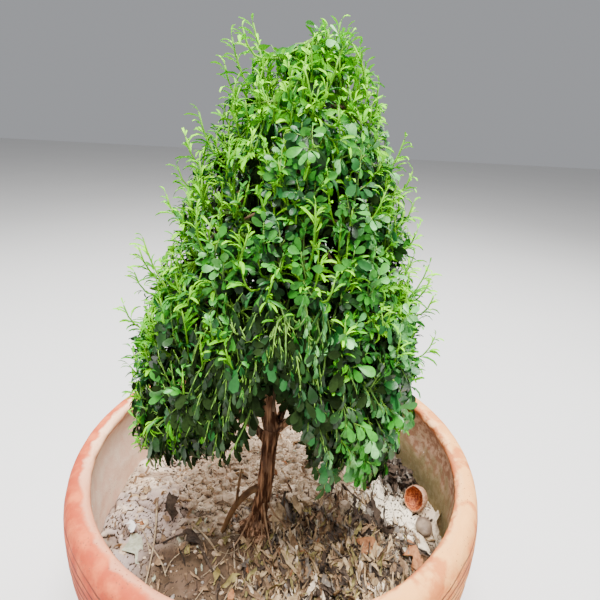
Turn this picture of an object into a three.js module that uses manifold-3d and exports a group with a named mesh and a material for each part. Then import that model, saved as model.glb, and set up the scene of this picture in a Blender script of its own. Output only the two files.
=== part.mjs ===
// A potted orange jasmine: a small clipped tree with a cone-shaped crown in a round terracotta bowl pot.
// Millimetres, +Z up. The origin is the centre of the pot's flat underside, and -Y is the front.
// Every piece is its own closed solid: the pot, its soil, the trunk, an old side root, the limbs, and
// the masses of foliage, each of which is a leafy core with twigs and larger-than-life leaves fused on.

import * as THREE from "three";
import { mergeVertices } from "three/addons/utils/BufferGeometryUtils.js";
import Module from "manifold-3d";

const wasm = await Module();
wasm.setup();

const CLEAR = 0.3; // gap left between two pieces that meet
const MERGE = 1e-3; // corners nearer to each other than this are one

// The pot, turned about the Z axis
const POT_HEIGHT = 250;
const FOOT_RADIUS = 122;
const BELLY_RADIUS = 201;
const BELLY_HEIGHT = 203;
const CREST_RADIUS = 186;
const MOUTH_RADIUS = 176;
const MOUTH_HEIGHT = 245;
const WALL = 17;
const FLOOR = 22;
const FOOT_CHAMFER = 4;
const POT_SIDES = 36;

// The soil, highest and level round the trunk's foot, in swells, with a low heap at the right front
const SOIL_LEVEL = 164;
const SOIL_EDGE_DROP = 9;
const SOIL_RADIUS = 181;
const SOIL_FOOT = 146; // where the pot's wall starts to curve in below the soil's surface
const SOIL_RINGS = 10; // rings of corners over the soil's surface
const LEVEL_RADIUS = 42; // of the level ground, which the side root's end also stands on
const SWELL_HEIGHT = 3.5;
const SWELL_SPACING = 37; // from a swell to the hollow beside it
const SWELL_BEND = 1.3; // how far the rows of swells wander, in radians
const HEAP = new THREE.Vector3(80, -80, 6); // the heap's middle, and its height as Z
const HEAP_SPREAD = 55;

// The trunk, leaning a little from its flare to its fork
const TRUNK_BASE = new THREE.Vector3(-17, -33, SOIL_LEVEL + CLEAR);
const TRUNK_FORK = new THREE.Vector3(-4, -28, 292);
const TRUNK_RADIUS = 8;
const FLARE_RADIUS = 17;
const FLARE_HEIGHT = 24;

// The crown: a cone with a rounded foot, leaning a little to +X, whose underside rises to the front
const CROWN_FOOT = 253;
const CROWN_TOP = 631;
const CROWN_RADIUS = 128;
const CROWN_Y = -26;
const CROWN_X_AT_FOOT = -10;
const CROWN_LEAN = 0.068;
const CROWN_DEPTH_SHARE = 0.88; // radius to the front and back over the radius to the sides
const WIDEST_SHARE = 0.27; // height of the widest ring, as a share of the crown's height
const DOME_SHARE = 0.85; // height at which the crown starts to round off
const TAPER = 0.72; // how much of the widest radius is lost on the way up to the top
const UNDERSIDE_RISE = 0.82; // how steeply the underside climbs to the front
const ARCH_HEIGHT = 42; // the arch over the trunk, at the crown's middle
const ARCH_WIDTH = 36;
const HANG = 14; // how far the lowest leaves hang below the underside

// Leaves, twigs and the cores that the twigs stand out of
const LEAF_LENGTH = 33;
const LEAF_WIDTH = 0.52; // as a share of the leaf's length
const LEAF_THICKNESS = 0.055;
const LEAF_WIDEST = 0.6;
const LEAF_SINK = 1.3;
const LEAF_STEP = 6.5; // between one leaf and the next along a twig
const LEAF_TILT = 0.45; // how far each leaf's face turns towards the twig's end
const LEAVES_ON_TWIG = 5;
const TWIG_RADIUS = 1.6;
const TWIG_LENGTH = 26; // the leafy outer part of a twig
const TWIG_SPREAD = 0.36; // how far a twig leans out from the crown's surface, to each unit along it
const TWIG_SPACING = 50; // between the ends of neighbouring twigs, along a row
const TWIG_ROWS = [0.97, 0.38, -0.25]; // heights of the rows in a mass, from -1 to 1
const SKIRT_ROWS = [0.97, 0.3]; // the same in the skirt, where the tier above hangs over the rest
const CORE_DEPTH = 22; // from the crown's outline to a core
const CORE_ROUNDING = 0.2;
const BORDER = 1.2; // what each core keeps off the border of its own space

const COLOURS = {
  terracotta: 0xc9805f,
  soil: 0x8d7862,
  bark: 0x5d4334,
  leaf: 0x3f7a2c,
};

// Repeatable random numbers from a seed
function seeded(seed) {
  let state = seed >>> 0;
  return () => {
    state = (state + 0x6d2b79f5) >>> 0;
    let t = Math.imul(state ^ (state >>> 15), state | 1);
    t ^= t + Math.imul(t ^ (t >>> 7), t | 61);
    return ((t ^ (t >>> 14)) >>> 0) / 4294967296;
  };
}

const between = (random, low, high) => low + (high - low) * random();
const radians = THREE.MathUtils.degToRad;

// A closed geometry as a solid that faces outwards
function solidOf(geometry) {
  const bare = geometry.index ? geometry.toNonIndexed() : geometry.clone();
  bare.deleteAttribute("normal");
  bare.deleteAttribute("uv");
  const merged = mergeVertices(bare, MERGE);
  const corners = new Uint32Array(merged.index.array);
  const make = () =>
    new wasm.Manifold(
      new wasm.Mesh({
        numProp: 3,
        vertProperties: new Float32Array(merged.attributes.position.array),
        triVerts: corners,
      }),
    );
  const first = make();
  if (first.volume() >= 0) return first;
  for (let i = 0; i < corners.length; i += 3) {
    [corners[i + 1], corners[i + 2]] = [corners[i + 2], corners[i + 1]];
  }
  return make();
}

// One solid from many, joined in pairs
function joined(solids) {
  let left = solids;
  while (left.length > 1) {
    const next = [];
    for (let i = 0; i < left.length; i += 2) {
      next.push(i + 1 < left.length ? left[i].add(left[i + 1]) : left[i]);
    }
    left = next;
  }
  return left[0];
}

// A solid's surface as a geometry
function geometryOf(solid) {
  const data = solid.getMesh();
  const geometry = new THREE.BufferGeometry();
  const places = new Float32Array(data.vertProperties);
  geometry.setAttribute("position", new THREE.BufferAttribute(places, 3));
  geometry.setIndex(new THREE.BufferAttribute(new Uint32Array(data.triVerts), 1));
  return geometry;
}

// The largest body of a solid: loose scraps are dropped, also those that hang on by a bare corner
function largest(solid) {
  const most = (whole) => whole.decompose().reduce((a, b) => (b.volume() > a.volume() ? b : a));
  return most(solidOf(geometryOf(most(solid))));
}

// A named mesh from a solid
function meshOf(name, solid, colour, roughness) {
  const geometry = geometryOf(solid);
  geometry.computeVertexNormals();
  const material = new THREE.MeshStandardMaterial({ color: colour, roughness, metalness: 0 });
  const mesh = new THREE.Mesh(geometry, material);
  mesh.name = name;
  return mesh;
}

// The outside of the pot from its underside to the crest of its lip
function potOutside() {
  const path = new THREE.Path();
  path.moveTo(FOOT_RADIUS - FOOT_CHAMFER, 0);
  path.lineTo(FOOT_RADIUS, FOOT_CHAMFER);
  path.bezierCurveTo(161, 58, BELLY_RADIUS, 118, BELLY_RADIUS, BELLY_HEIGHT);
  path.bezierCurveTo(BELLY_RADIUS, 228, 199, POT_HEIGHT, CREST_RADIUS, POT_HEIGHT);
  return path;
}

// The inside of the pot from under its lip down to the floor, upright where the soil meets it
function potInside(gap) {
  const path = new THREE.Path();
  path.moveTo(BELLY_RADIUS - WALL - gap, BELLY_HEIGHT + 20);
  path.lineTo(BELLY_RADIUS - WALL - gap, BELLY_HEIGHT - 3);
  path.lineTo(SOIL_RADIUS - gap, SOIL_LEVEL + 12);
  path.lineTo(SOIL_RADIUS - gap, SOIL_FOOT);
  path.bezierCurveTo(SOIL_RADIUS - gap, 100, 150 - gap, 62, FOOT_RADIUS - gap, FLOOR + gap);
  return path;
}

// A profile of radius and height, turned about Z
function turned(points, sides) {
  return new THREE.LatheGeometry(points, sides).rotateX(Math.PI / 2);
}

function pot() {
  const lip = new THREE.Path();
  lip.moveTo(CREST_RADIUS, POT_HEIGHT);
  lip.bezierCurveTo(180, POT_HEIGHT, MOUTH_RADIUS, 249, MOUTH_RADIUS, MOUTH_HEIGHT);
  lip.bezierCurveTo(MOUTH_RADIUS, 240, 183, 236, BELLY_RADIUS - WALL, BELLY_HEIGHT + 20);
  const points = [
    new THREE.Vector2(0, 0),
    ...potOutside().getPoints(4),
    ...lip.getPoints(2).slice(1),
    ...potInside(0).getPoints(3).slice(1),
    new THREE.Vector2(0, FLOOR),
  ];
  return meshOf("pot", solidOf(turned(points, POT_SIDES)), COLOURS.terracotta, 0.85);
}

// Height of the soil's swells and hollows, in rows that wander
function swell(x, y) {
  const turn = Math.PI / SWELL_SPACING;
  const across = turn * x + SWELL_BEND * Math.sin(0.6 * turn * y);
  const along = turn * y + SWELL_BEND * Math.sin(0.7 * turn * x + 1);
  return SWELL_HEIGHT * Math.sin(across) * Math.sin(along);
}

// Height of the heap at the right front
function heap(x, y) {
  const away = Math.hypot(x - HEAP.x, y - HEAP.y);
  return HEAP.z * Math.exp(-0.5 * (away / HEAP_SPREAD) ** 2);
}

// Height of the soil: level round the trunk's foot, then falling a little to the wall
function soilHeight(x, y) {
  const away = Math.hypot(x - TRUNK_BASE.x, y - TRUNK_BASE.y);
  const rise = THREE.MathUtils.smoothstep(away, FLARE_RADIUS + 12, 120);
  const uneven = THREE.MathUtils.smoothstep(away, LEVEL_RADIUS, 1.8 * LEVEL_RADIUS);
  const waves = 2.2 * Math.sin(x * 0.045 + 0.6) * Math.cos(y * 0.038 - 0.4);
  const fall = SOIL_EDGE_DROP * (away / 160);
  return SOIL_LEVEL + rise * (waves - fall) + uneven * (swell(x, y) + heap(x, y));
}

function soil() {
  const wall = potInside(CLEAR).getPoints(3).reverse().filter((p) => p.y <= SOIL_FOOT);
  const profile = [new THREE.Vector2(0, FLOOR + CLEAR), ...wall];
  for (let i = SOIL_RINGS; i >= 0; i--) {
    profile.push(new THREE.Vector2((SOIL_RADIUS - CLEAR) * (i / SOIL_RINGS), SOIL_LEVEL));
  }
  const geometry = turned(profile, POT_SIDES);
  const at = geometry.attributes.position;
  for (let i = 0; i < at.count; i++) {
    if (at.getZ(i) > SOIL_LEVEL - 0.5) at.setZ(i, soilHeight(at.getX(i), at.getY(i)));
  }
  return meshOf("soil", solidOf(geometry), COLOURS.soil, 1);
}

// A tapering limb: a cylinder bent along a curve, its radius given along and round it
function limbGeometry(points, radiusAt, sides, steps) {
  const curve = new THREE.CatmullRomCurve3(points);
  const frames = curve.computeFrenetFrames(steps, false);
  const geometry = new THREE.CylinderGeometry(1, 1, 1, sides, steps);
  const at = geometry.attributes.position;
  const place = new THREE.Vector3();
  for (let i = 0; i < at.count; i++) {
    const step = Math.round((at.getY(i) + 0.5) * steps);
    const t = step / steps;
    const across = at.getX(i);
    const around = at.getZ(i);
    const radius = radiusAt(t, Math.atan2(around, across));
    curve.getPointAt(t, place);
    place.addScaledVector(frames.normals[step], across * radius);
    place.addScaledVector(frames.binormals[step], around * radius);
    at.setXYZ(i, place.x, place.y, place.z);
  }
  return geometry;
}

// The trunk's radius at a share of its length, with three buttresses at its foot and a swollen fork
function trunkRadius(t, angle, grow) {
  const flare = Math.max(0, 1 - (t * (TRUNK_FORK.z - TRUNK_BASE.z)) / FLARE_HEIGHT) ** 1.8;
  const buttress = 1 + 0.22 * flare * Math.cos(3 * angle + 0.7);
  const fork = 0.9 * THREE.MathUtils.smoothstep(t, 0.8, 1);
  const taper = TRUNK_RADIUS * (1.1 - 0.22 * t) + fork;
  return (taper + (FLARE_RADIUS - TRUNK_RADIUS) * flare) * buttress + grow;
}

const TRUNK_PATH = [
  TRUNK_BASE,
  new THREE.Vector3(-14.5, -30.5, 187),
  new THREE.Vector3(-10.5, -28.5, 212),
  new THREE.Vector3(-8, -28, 240),
  new THREE.Vector3(-6.5, -28, 266),
  TRUNK_FORK,
];

// The trunk's solid, its bark grown outwards by an amount, with both ends cut flat and level
function trunkSolid(grow) {
  const geometry = limbGeometry(TRUNK_PATH, (t, a) => trunkRadius(t, a, grow), 12, 16);
  const at = geometry.attributes.position;
  for (let i = 0; i < at.count; i++) {
    if (Math.abs(at.getZ(i) - TRUNK_BASE.z) < 6) at.setZ(i, TRUNK_BASE.z);
    if (Math.abs(at.getZ(i) - TRUNK_FORK.z) < 4) at.setZ(i, TRUNK_FORK.z + grow);
  }
  return solidOf(geometry);
}

// The crown's middle line leans to +X as it rises
const crownX = (z) => CROWN_X_AT_FOOT + CROWN_LEAN * (z - CROWN_FOOT);

// A place beside the crown's middle line, at a bearing in degrees
function aside(degrees, radius, z) {
  const x = crownX(z) + radius * Math.cos(radians(degrees));
  return new THREE.Vector3(x, CROWN_Y + radius * Math.sin(radians(degrees)), z);
}

// The leader, which carries on from the trunk up the crown's middle line
const LEADER = {
  path: [
    TRUNK_FORK,
    new THREE.Vector3(-8, -27.5, 322),
    new THREE.Vector3(-4, -26, 372),
    new THREE.Vector3(2, -26, 440),
    new THREE.Vector3(crownX(546), CROWN_Y, 546),
  ],
  from: 6.4,
  to: 2.6,
};

// The crown's tiers: the height at which each ends on the crown's middle line, the radius of the
// hollow round the leader that its masses start from, its limbs' thickness and end height, and the
// rows of its twigs
const TIERS = {
  skirt: { low: CROWN_FOOT, high: 356, inner: 40, limbRadius: 4.4, limbEnd: 312, rows: SKIRT_ROWS },
  middle: { low: 356, high: 452, inner: 34, limbRadius: 3.8, limbEnd: 392, rows: TWIG_ROWS },
  upper: { low: 452, high: 548, inner: 23, limbRadius: 3, limbEnd: 486, rows: TWIG_ROWS },
};
const TIER_SLOPE = 0.3; // the border between two tiers falls outwards by this much
const SLOPE_START = 40; // radius at which that border has the height given above
const STEM_LENGTH = 30; // of the stem that carries a mass's twigs on from its limb
const LIMB_SIDES = 7;

// A mass of foliage between two bearings in degrees, whose twigs rise or hang by an amount, on a limb
// that forks off at a height
function mass(tier, side, from, to, rise, fork) {
  const name = `foliage_${tier}_${side}`;
  return { name, limbName: `${tier}_limb_${side}`, from, to, rise, fork, seed: fork, ...TIERS[tier] };
}

const MASSES = [
  mass("skirt", "left", 148, 232, -0.9, 272),
  mass("skirt", "right", -52, 32, -0.9, 284),
  mass("skirt", "back_right", 32, 90, -0.9, 262),
  mass("skirt", "back_left", 90, 148, -0.9, 278),
  { ...mass("middle", "front", -128, -52, -0.8, 326), low: CROWN_FOOT, limbEnd: 366 },
  mass("middle", "right", -52, 40, -0.7, 342),
  mass("middle", "back", 40, 138, -0.7, 335),
  mass("middle", "left", 138, 232, 0.8, 350),
  mass("upper", "front", -145, -30, 0.9, 428),
  mass("upper", "right", -30, 90, 0.8, 440),
  mass("upper", "left", 90, 215, 1, 434),
];

const TOP = {
  name: "foliage_top",
  from: 0,
  to: 360,
  low: TIERS.upper.high,
  high: CROWN_TOP,
  inner: 4,
  rise: 1,
  seed: 7,
  rows: [...TWIG_ROWS, -0.85],
};

// The point of a curve that is nearest to a height
function atHeight(curve, z) {
  const points = curve.getSpacedPoints(200);
  return points.reduce((a, b) => (Math.abs(b.z - z) < Math.abs(a.z - z) ? b : a));
}

// The limb of a mass, from its parent's middle line to the inner side of the mass
function limbOf(mass) {
  const parent = mass.fork < TRUNK_FORK.z ? TRUNK_PATH : LEADER.path;
  const start = atHeight(new THREE.CatmullRomCurve3(parent), mass.fork);
  const end = aside((mass.from + mass.to) / 2, mass.inner - 2, mass.limbEnd);
  const middle = start.clone().lerp(end, 0.45);
  middle.z += 5;
  return { path: [start, middle, end], from: mass.limbRadius, to: 0.6 * mass.limbRadius };
}

// A limb's solid, its bark grown outwards by an amount
function limbSolid(limb, grow) {
  const steps = limb === LEADER ? 10 : 4;
  const radius = (t) => limb.from + (limb.to - limb.from) * t + grow;
  return solidOf(limbGeometry(limb.path, radius, LIMB_SIDES, steps));
}

// The crown's radius at a height and a bearing
function crownRadius(z, bearing) {
  const share = THREE.MathUtils.clamp((z - CROWN_FOOT) / (CROWN_TOP - CROWN_FOOT), 0, 1);
  const below = Math.max(0, WIDEST_SHARE - share) / 0.52;
  const above = Math.max(0, share - WIDEST_SHARE) / (1 - WIDEST_SHARE);
  const dome = Math.max(0, share - DOME_SHARE) / (1.01 - DOME_SHARE);
  const profile = (Math.sqrt(1 - below * below) - TAPER * above ** 1.3) * Math.sqrt(1 - dome * dome);
  const depth = 1 - (1 - CROWN_DEPTH_SHARE) * Math.sin(bearing) ** 2;
  return CROWN_RADIUS * profile * depth;
}

// The crown's underside: level at the sides and back, climbing to the front, arched over the trunk
function underside(x, y) {
  const forward = Math.max(0, CROWN_Y - y);
  const arch = ARCH_HEIGHT * Math.exp(-(((x - TRUNK_FORK.x) / ARCH_WIDTH) ** 2));
  return CROWN_FOOT + UNDERSIDE_RISE * forward + arch;
}

// The heights between which a mass lies, at a distance from the crown's middle line
function massHeights(mass, radius, x, y) {
  const fall = TIER_SLOPE * (radius - SLOPE_START);
  const high = Math.min(mass.high - fall, CROWN_TOP);
  return [Math.max(mass.low - fall, underside(x, y)), high];
}

// True where a point lies in a mass's own space, a margin clear of its borders
function inSpace(mass, p, margin) {
  const x = p.x - crownX(p.z);
  const y = p.y - CROWN_Y;
  const radius = Math.hypot(x, y);
  if (radius > crownRadius(p.z, Math.atan2(y, x)) || p.z > CROWN_TOP) return false;
  const fall = TIER_SLOPE * (radius - SLOPE_START);
  if (p.z < underside(p.x, p.y) - HANG) return false;
  if (mass.low > CROWN_FOOT && p.z < mass.low - fall + margin) return false;
  if (p.z > mass.high - fall - margin) return false;
  if (mass === TOP) return true;
  const beside = (degrees) => y * Math.cos(radians(degrees)) - x * Math.sin(radians(degrees));
  return beside(mass.from) > margin && beside(mass.to) < -margin && radius > mass.inner - 8;
}

// A point in a mass's space from shares of its bearing, its height and its depth, each from -1 to 1
function placeInMass(mass, across, up, out, depth) {
  const middle = radians((mass.from + mass.to) / 2);
  const half = radians((mass.to - mass.from) / 2);
  const place = new THREE.Vector3(0, 0, (mass.low + mass.high) / 2 + (up * (mass.high - mass.low)) / 2);
  for (let pass = 0; pass < 3; pass++) {
    const outer = Math.max(crownRadius(place.z, middle + across * half) - depth, mass.inner + 6);
    const radius = mass.inner + ((outer - mass.inner) * (out + 1)) / 2;
    const bearing = middle + across * (half - BORDER / Math.max(radius, BORDER));
    place.x = crownX(place.z) + radius * Math.cos(bearing);
    place.y = CROWN_Y + radius * Math.sin(bearing);
    const [low, high] = massHeights(mass, radius, place.x, place.y);
    place.z = (low + high) / 2 + up * ((high - low) / 2 - BORDER);
  }
  return place;
}

// A mass's core: a block with rounded edges, bent to fill the inner part of the mass's space
function coreGeometry(mass) {
  const block = new THREE.BoxGeometry(2, 2, 2, 4, 3, 2);
  const at = block.attributes.position;
  const corner = new THREE.Vector3();
  const round = new THREE.Vector3();
  for (let i = 0; i < at.count; i++) {
    corner.fromBufferAttribute(at, i);
    round.copy(corner).normalize();
    corner.lerp(round, CORE_ROUNDING);
    const place = placeInMass(mass, corner.x, corner.y, corner.z, CORE_DEPTH);
    at.setXYZ(i, place.x, place.y, place.z);
  }
  return block;
}

// The top's core is a dome turned about the crown's middle line
function topCoreGeometry(mass) {
  const foot = crownRadius(mass.low, 0) - CORE_DEPTH;
  const high = CROWN_TOP - 1.4 * CORE_DEPTH;
  const profile = [new THREE.Vector2(0, mass.low + TIER_SLOPE * SLOPE_START + BORDER)];
  const steps = 4;
  for (let i = 0; i <= steps; i++) {
    const turn = (i / steps) * (Math.PI / 2);
    const z = mass.low - TIER_SLOPE * (foot - SLOPE_START) + BORDER;
    profile.push(new THREE.Vector2(foot * Math.cos(turn), z + (high - z) * Math.sin(turn)));
  }
  profile[profile.length - 1].x = 0;
  return turned(profile, 14).scale(1, CROWN_DEPTH_SHARE, 1).translate(crownX(mass.low), CROWN_Y, 0);
}

// A leaf: eight faces, widest past its middle, along +Y from its root, facing +Z
function leafGeometry() {
  const leaf = new THREE.OctahedronGeometry(0.5, 0);
  const at = leaf.attributes.position;
  for (let i = 0; i < at.count; i++) {
    const along = at.getY(i);
    const y = Math.abs(along) < 0.1 ? LEAF_WIDEST : along + 0.5;
    at.setXYZ(i, at.getX(i) * LEAF_WIDTH, y, at.getZ(i) * LEAF_THICKNESS);
  }
  return leaf;
}

const LEAF = leafGeometry();

// A leaf's own geometry in place
function placedLeaf(root, along, facing, length) {
  const y = along.clone().normalize();
  const x = new THREE.Vector3().crossVectors(y, facing).normalize();
  const z = new THREE.Vector3().crossVectors(x, y);
  const matrix = new THREE.Matrix4().makeBasis(x, y, z).setPosition(root);
  return LEAF.clone().scale(length, length, length).applyMatrix4(matrix);
}

// A three-sided twig that leaves the stem and bends to its leafy outer part, of a length
function twigGeometry(stem, twig, length) {
  const elbow = twig.end.clone().addScaledVector(twig.heading, -length).lerp(stem, 0.12);
  const radius = (t) => TWIG_RADIUS * (1 - 0.5 * t);
  return limbGeometry([stem, elbow, twig.end], radius, 3, 4);
}

function everyCorner(geometry, test) {
  const at = geometry.attributes.position;
  const p = new THREE.Vector3();
  for (let i = 0; i < at.count; i++) {
    if (!test(p.fromBufferAttribute(at, i))) return false;
  }
  return true;
}

// How fast the crown widens with height, no steeper than a twig would follow it
function surfaceSlope(z) {
  const slope = (crownRadius(z + 5, 0) - crownRadius(z - 5, 0)) / 10;
  return THREE.MathUtils.clamp(slope, -0.5, 0.3);
}

// The twigs of a mass in rows over the crown's surface, each as its end and its heading, so that the
// leaf at each twig's end reaches the crown's outline
function massTwigs(mass) {
  const whole = mass === TOP;
  const twigs = [];
  mass.rows.forEach((height, row) => {
    const up = Math.sign(mass.rise) * height;
    const reach = crownRadius((mass.low + mass.high) / 2, 0);
    const wide = radians(mass.to - mass.from) * reach;
    const offset = row % 2; // the twigs of every other row stand between those of the first
    const columns = Math.round(wide / TWIG_SPACING) - (whole ? 0 : offset);
    for (let i = 0; i < columns; i++) {
      const across = (2 * i + (whole ? offset : 1)) / columns - 1;
      const tip = placeInMass(mass, across, up, 1, 2);
      const heading = new THREE.Vector3(tip.x - crownX(tip.z), tip.y - CROWN_Y, 0)
        .normalize()
        .multiplyScalar(surfaceSlope(tip.z) * Math.sign(mass.rise) + TWIG_SPREAD)
        .add(new THREE.Vector3(0, 0, mass.rise))
        .normalize();
      const end = tip.addScaledVector(heading, -LEAF_LENGTH);
      if (inSpace(mass, end, 1)) twigs.push({ end, heading });
    }
  });
  return twigs;
}

// The leaves of one twig: one at its end and the others to either side in turn, each turned forward
// where it would not fit in the mass's space
function twigLeaves(mass, twig, span, random) {
  const out = new THREE.Vector3(twig.end.x - crownX(twig.end.z), twig.end.y - CROWN_Y, 0).normalize();
  const sideways = new THREE.Vector3().crossVectors(new THREE.Vector3(0, 0, 1), out);
  sideways.applyAxisAngle(twig.heading, between(random, -0.35, 0.35));
  const facing = new THREE.Vector3().crossVectors(sideways, twig.heading);
  if (facing.dot(out) < 0) facing.negate();
  facing.addScaledVector(twig.heading, LEAF_TILT);
  const leaves = [];
  for (let i = 0; i < LEAVES_ON_TWIG && (i - 0.5) * LEAF_STEP < span; i++) {
    const side = i === 0 ? 0 : (-1) ** i;
    const back = i === 0 ? 0 : (i - 0.5) * LEAF_STEP;
    const node = twig.end.clone().addScaledVector(twig.heading, -back);
    const share = between(random, 0.85, 1);
    const length = LEAF_LENGTH * (i === 0 ? 1 : share);
    for (const forward of [0.5, 0.9, 1.5]) {
      const lean = sideways.clone().multiplyScalar(side);
      lean.addScaledVector(twig.heading, forward).normalize();
      const root = node.clone().addScaledVector(lean, -LEAF_SINK);
      const leaf = placedLeaf(root, lean, facing, length);
      if (!everyCorner(leaf, (p) => inSpace(mass, p, 0.5))) continue;
      leaves.push(solidOf(leaf));
      break;
    }
  }
  return leaves;
}

// One mass: its stem, core, twigs and leaves fused, kept in its own space and clear of the limbs
function massSolid(mass, limb, obstacles) {
  const random = seeded(mass.seed);
  const curve = new THREE.CatmullRomCurve3(limb.path);
  const tip = curve.getPointAt(1);
  const heading = curve.getTangentAt(1);
  const stem = new THREE.CatmullRomCurve3([
    tip.clone().addScaledVector(heading, CLEAR),
    tip.clone().addScaledVector(heading, STEM_LENGTH),
  ]);
  const solids = [
    solidOf(mass === TOP ? topCoreGeometry(mass) : coreGeometry(mass)),
    solidOf(limbGeometry(stem.points, (t) => limb.to * (1 - 0.4 * t), 6, 1)),
  ];
  for (const twig of massTwigs(mass)) {
    const from = stem.getPointAt(between(random, 0.4, 0.95));
    for (const length of [TWIG_LENGTH, 0.7 * TWIG_LENGTH, 0.45 * TWIG_LENGTH]) {
      const bent = twigGeometry(from, twig, length);
      if (!everyCorner(bent, (p) => inSpace(mass, p, 0.4))) continue;
      solids.push(solidOf(bent), ...twigLeaves(mass, twig, length, random));
      break;
    }
  }
  let solid = joined(solids);
  for (const obstacle of obstacles) solid = solid.subtract(obstacle);
  return largest(solid);
}

// An old root that leaves the trunk to the left and dips into the soil, with a dead shoot on it
function sideRoot(trunkGrown) {
  const root = limbGeometry(
    [
      new THREE.Vector3(-12, -29, 222),
      new THREE.Vector3(-24, -31, 215),
      new THREE.Vector3(-38, -34, 198),
      new THREE.Vector3(-52, -36, SOIL_LEVEL + 1.5),
    ],
    (t) => 3.4 - 1.2 * t,
    7,
    8,
  );
  const shoot = limbGeometry(
    [
      new THREE.Vector3(-37, -33.5, 199),
      new THREE.Vector3(-35, -35, 222),
      new THREE.Vector3(-31.5, -36, 247),
    ],
    (t) => 1.7 - 0.8 * t,
    5,
    4,
  );
  const ground = new THREE.BoxGeometry(80, 80, 40).translate(-52, -36, SOIL_LEVEL - 20 + CLEAR);
  const whole = solidOf(root).add(solidOf(shoot));
  return largest(whole.subtract(trunkGrown).subtract(solidOf(ground)));
}

const plant = new THREE.Group();
plant.add(pot(), soil());

// Each limb is cut back to 0.3 mm off the bark of what it grows from
const trunkGrown = trunkSolid(CLEAR);
const leader = largest(limbSolid(LEADER, 0).subtract(trunkGrown));
plant.add(meshOf("trunk", trunkSolid(0), COLOURS.bark, 0.9));
plant.add(meshOf("leader", leader, COLOURS.bark, 0.9));
plant.add(meshOf("side_root", sideRoot(trunkGrown), COLOURS.bark, 0.9));

const grown = [trunkGrown, limbSolid(LEADER, CLEAR)];
for (const mass of MASSES) {
  const limb = limbOf(mass);
  const solid = grown.reduce((left, other) => left.subtract(other), limbSolid(limb, 0));
  plant.add(meshOf(mass.limbName, largest(solid), COLOURS.bark, 0.9));
  grown.push(limbSolid(limb, CLEAR));
}

for (const mass of [...MASSES, TOP]) {
  const limb = mass === TOP ? LEADER : limbOf(mass);
  plant.add(meshOf(mass.name, massSolid(mass, limb, grown), COLOURS.leaf, 0.6));
}

export default plant;
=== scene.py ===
"""A small clipped orange jasmine in a round terracotta bowl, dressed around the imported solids.

Sizes are millimetres with +Z up and -Y to the front, and each mesh is turned to metres as it is made.
The crown grows by the same rule as the solids: each mass has a limb, a stem that carries it on, branches
inside, and shoots that reach the crown's outline, here with finer shoots that bear sprays of leaflets.
"""

import logging
import math
from dataclasses import dataclass, field
from enum import Enum
from functools import reduce
from typing import Callable, Sequence

import bmesh
import bpy
import numpy as np
from mathutils import Matrix, Vector, noise


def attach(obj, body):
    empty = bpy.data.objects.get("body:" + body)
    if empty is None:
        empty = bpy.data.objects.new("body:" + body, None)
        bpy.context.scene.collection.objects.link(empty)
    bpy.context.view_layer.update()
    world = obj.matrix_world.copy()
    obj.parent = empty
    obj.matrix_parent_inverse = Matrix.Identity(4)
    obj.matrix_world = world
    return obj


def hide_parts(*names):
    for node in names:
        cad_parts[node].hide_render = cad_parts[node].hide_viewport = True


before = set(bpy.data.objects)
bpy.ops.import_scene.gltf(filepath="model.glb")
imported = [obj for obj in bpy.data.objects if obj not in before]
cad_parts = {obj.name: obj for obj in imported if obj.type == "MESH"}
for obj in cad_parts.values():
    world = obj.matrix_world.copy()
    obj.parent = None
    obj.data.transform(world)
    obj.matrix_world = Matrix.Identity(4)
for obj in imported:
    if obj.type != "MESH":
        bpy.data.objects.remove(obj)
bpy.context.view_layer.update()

LOG = logging.getLogger("orange_jasmine")
Array = np.ndarray
Rng = np.random.Generator
Pair = tuple[float, float]
Triple = tuple[float, float, float]
Colour = Triple
Shades = tuple[Colour, Colour]
Socket = bpy.types.NodeSocket
Material = bpy.types.Material
Mesh = bpy.types.Mesh

MM = 0.001  # metres in a millimetre
BODY = "root"


def unit(v: Array) -> Array:
    """Vectors scaled to length one, along the last axis."""
    return v / np.maximum(np.linalg.norm(v, axis=-1, keepdims=True), 1e-9)


def smoothstep(value: Array, low: float, high: float) -> Array:
    """A smooth rise from 0 at low to 1 at high."""
    t = np.clip((value - low) / (high - low), 0.0, 1.0)
    return t * t * (3.0 - 2.0 * t)


def soft_step(value: float, low: float, high: float) -> float:
    """A smooth rise of a single number."""
    return float(smoothstep(np.float64(value), low, high))


def arc(start: Array, elbow: Array, end: Array, share: Array) -> Array:
    """Points along a curve that sets out towards an elbow, at shares of it."""
    return start * (1 - share) ** 2 + 2 * elbow * share * (1 - share) + end * share**2


def across_axis(axis: Array, vectors: Array) -> Array:
    """The part of vectors that is square to an axis, at length one."""
    return unit(vectors - axis * np.sum(vectors * axis, axis=-1, keepdims=True))


def path_at(path: Array, lengths: Array, at: Array) -> Array:
    """The points of a path at given lengths along it, from the lengths at its own points."""
    return np.stack([np.interp(at, lengths, axis) for axis in path.T], axis=-1)


def lengths_of(path: Array) -> Array:
    """The length of a path up to each of its points."""
    steps = np.linalg.norm(np.diff(path, axis=0), axis=1)
    return np.concatenate([[0.0], np.cumsum(steps)])


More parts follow.
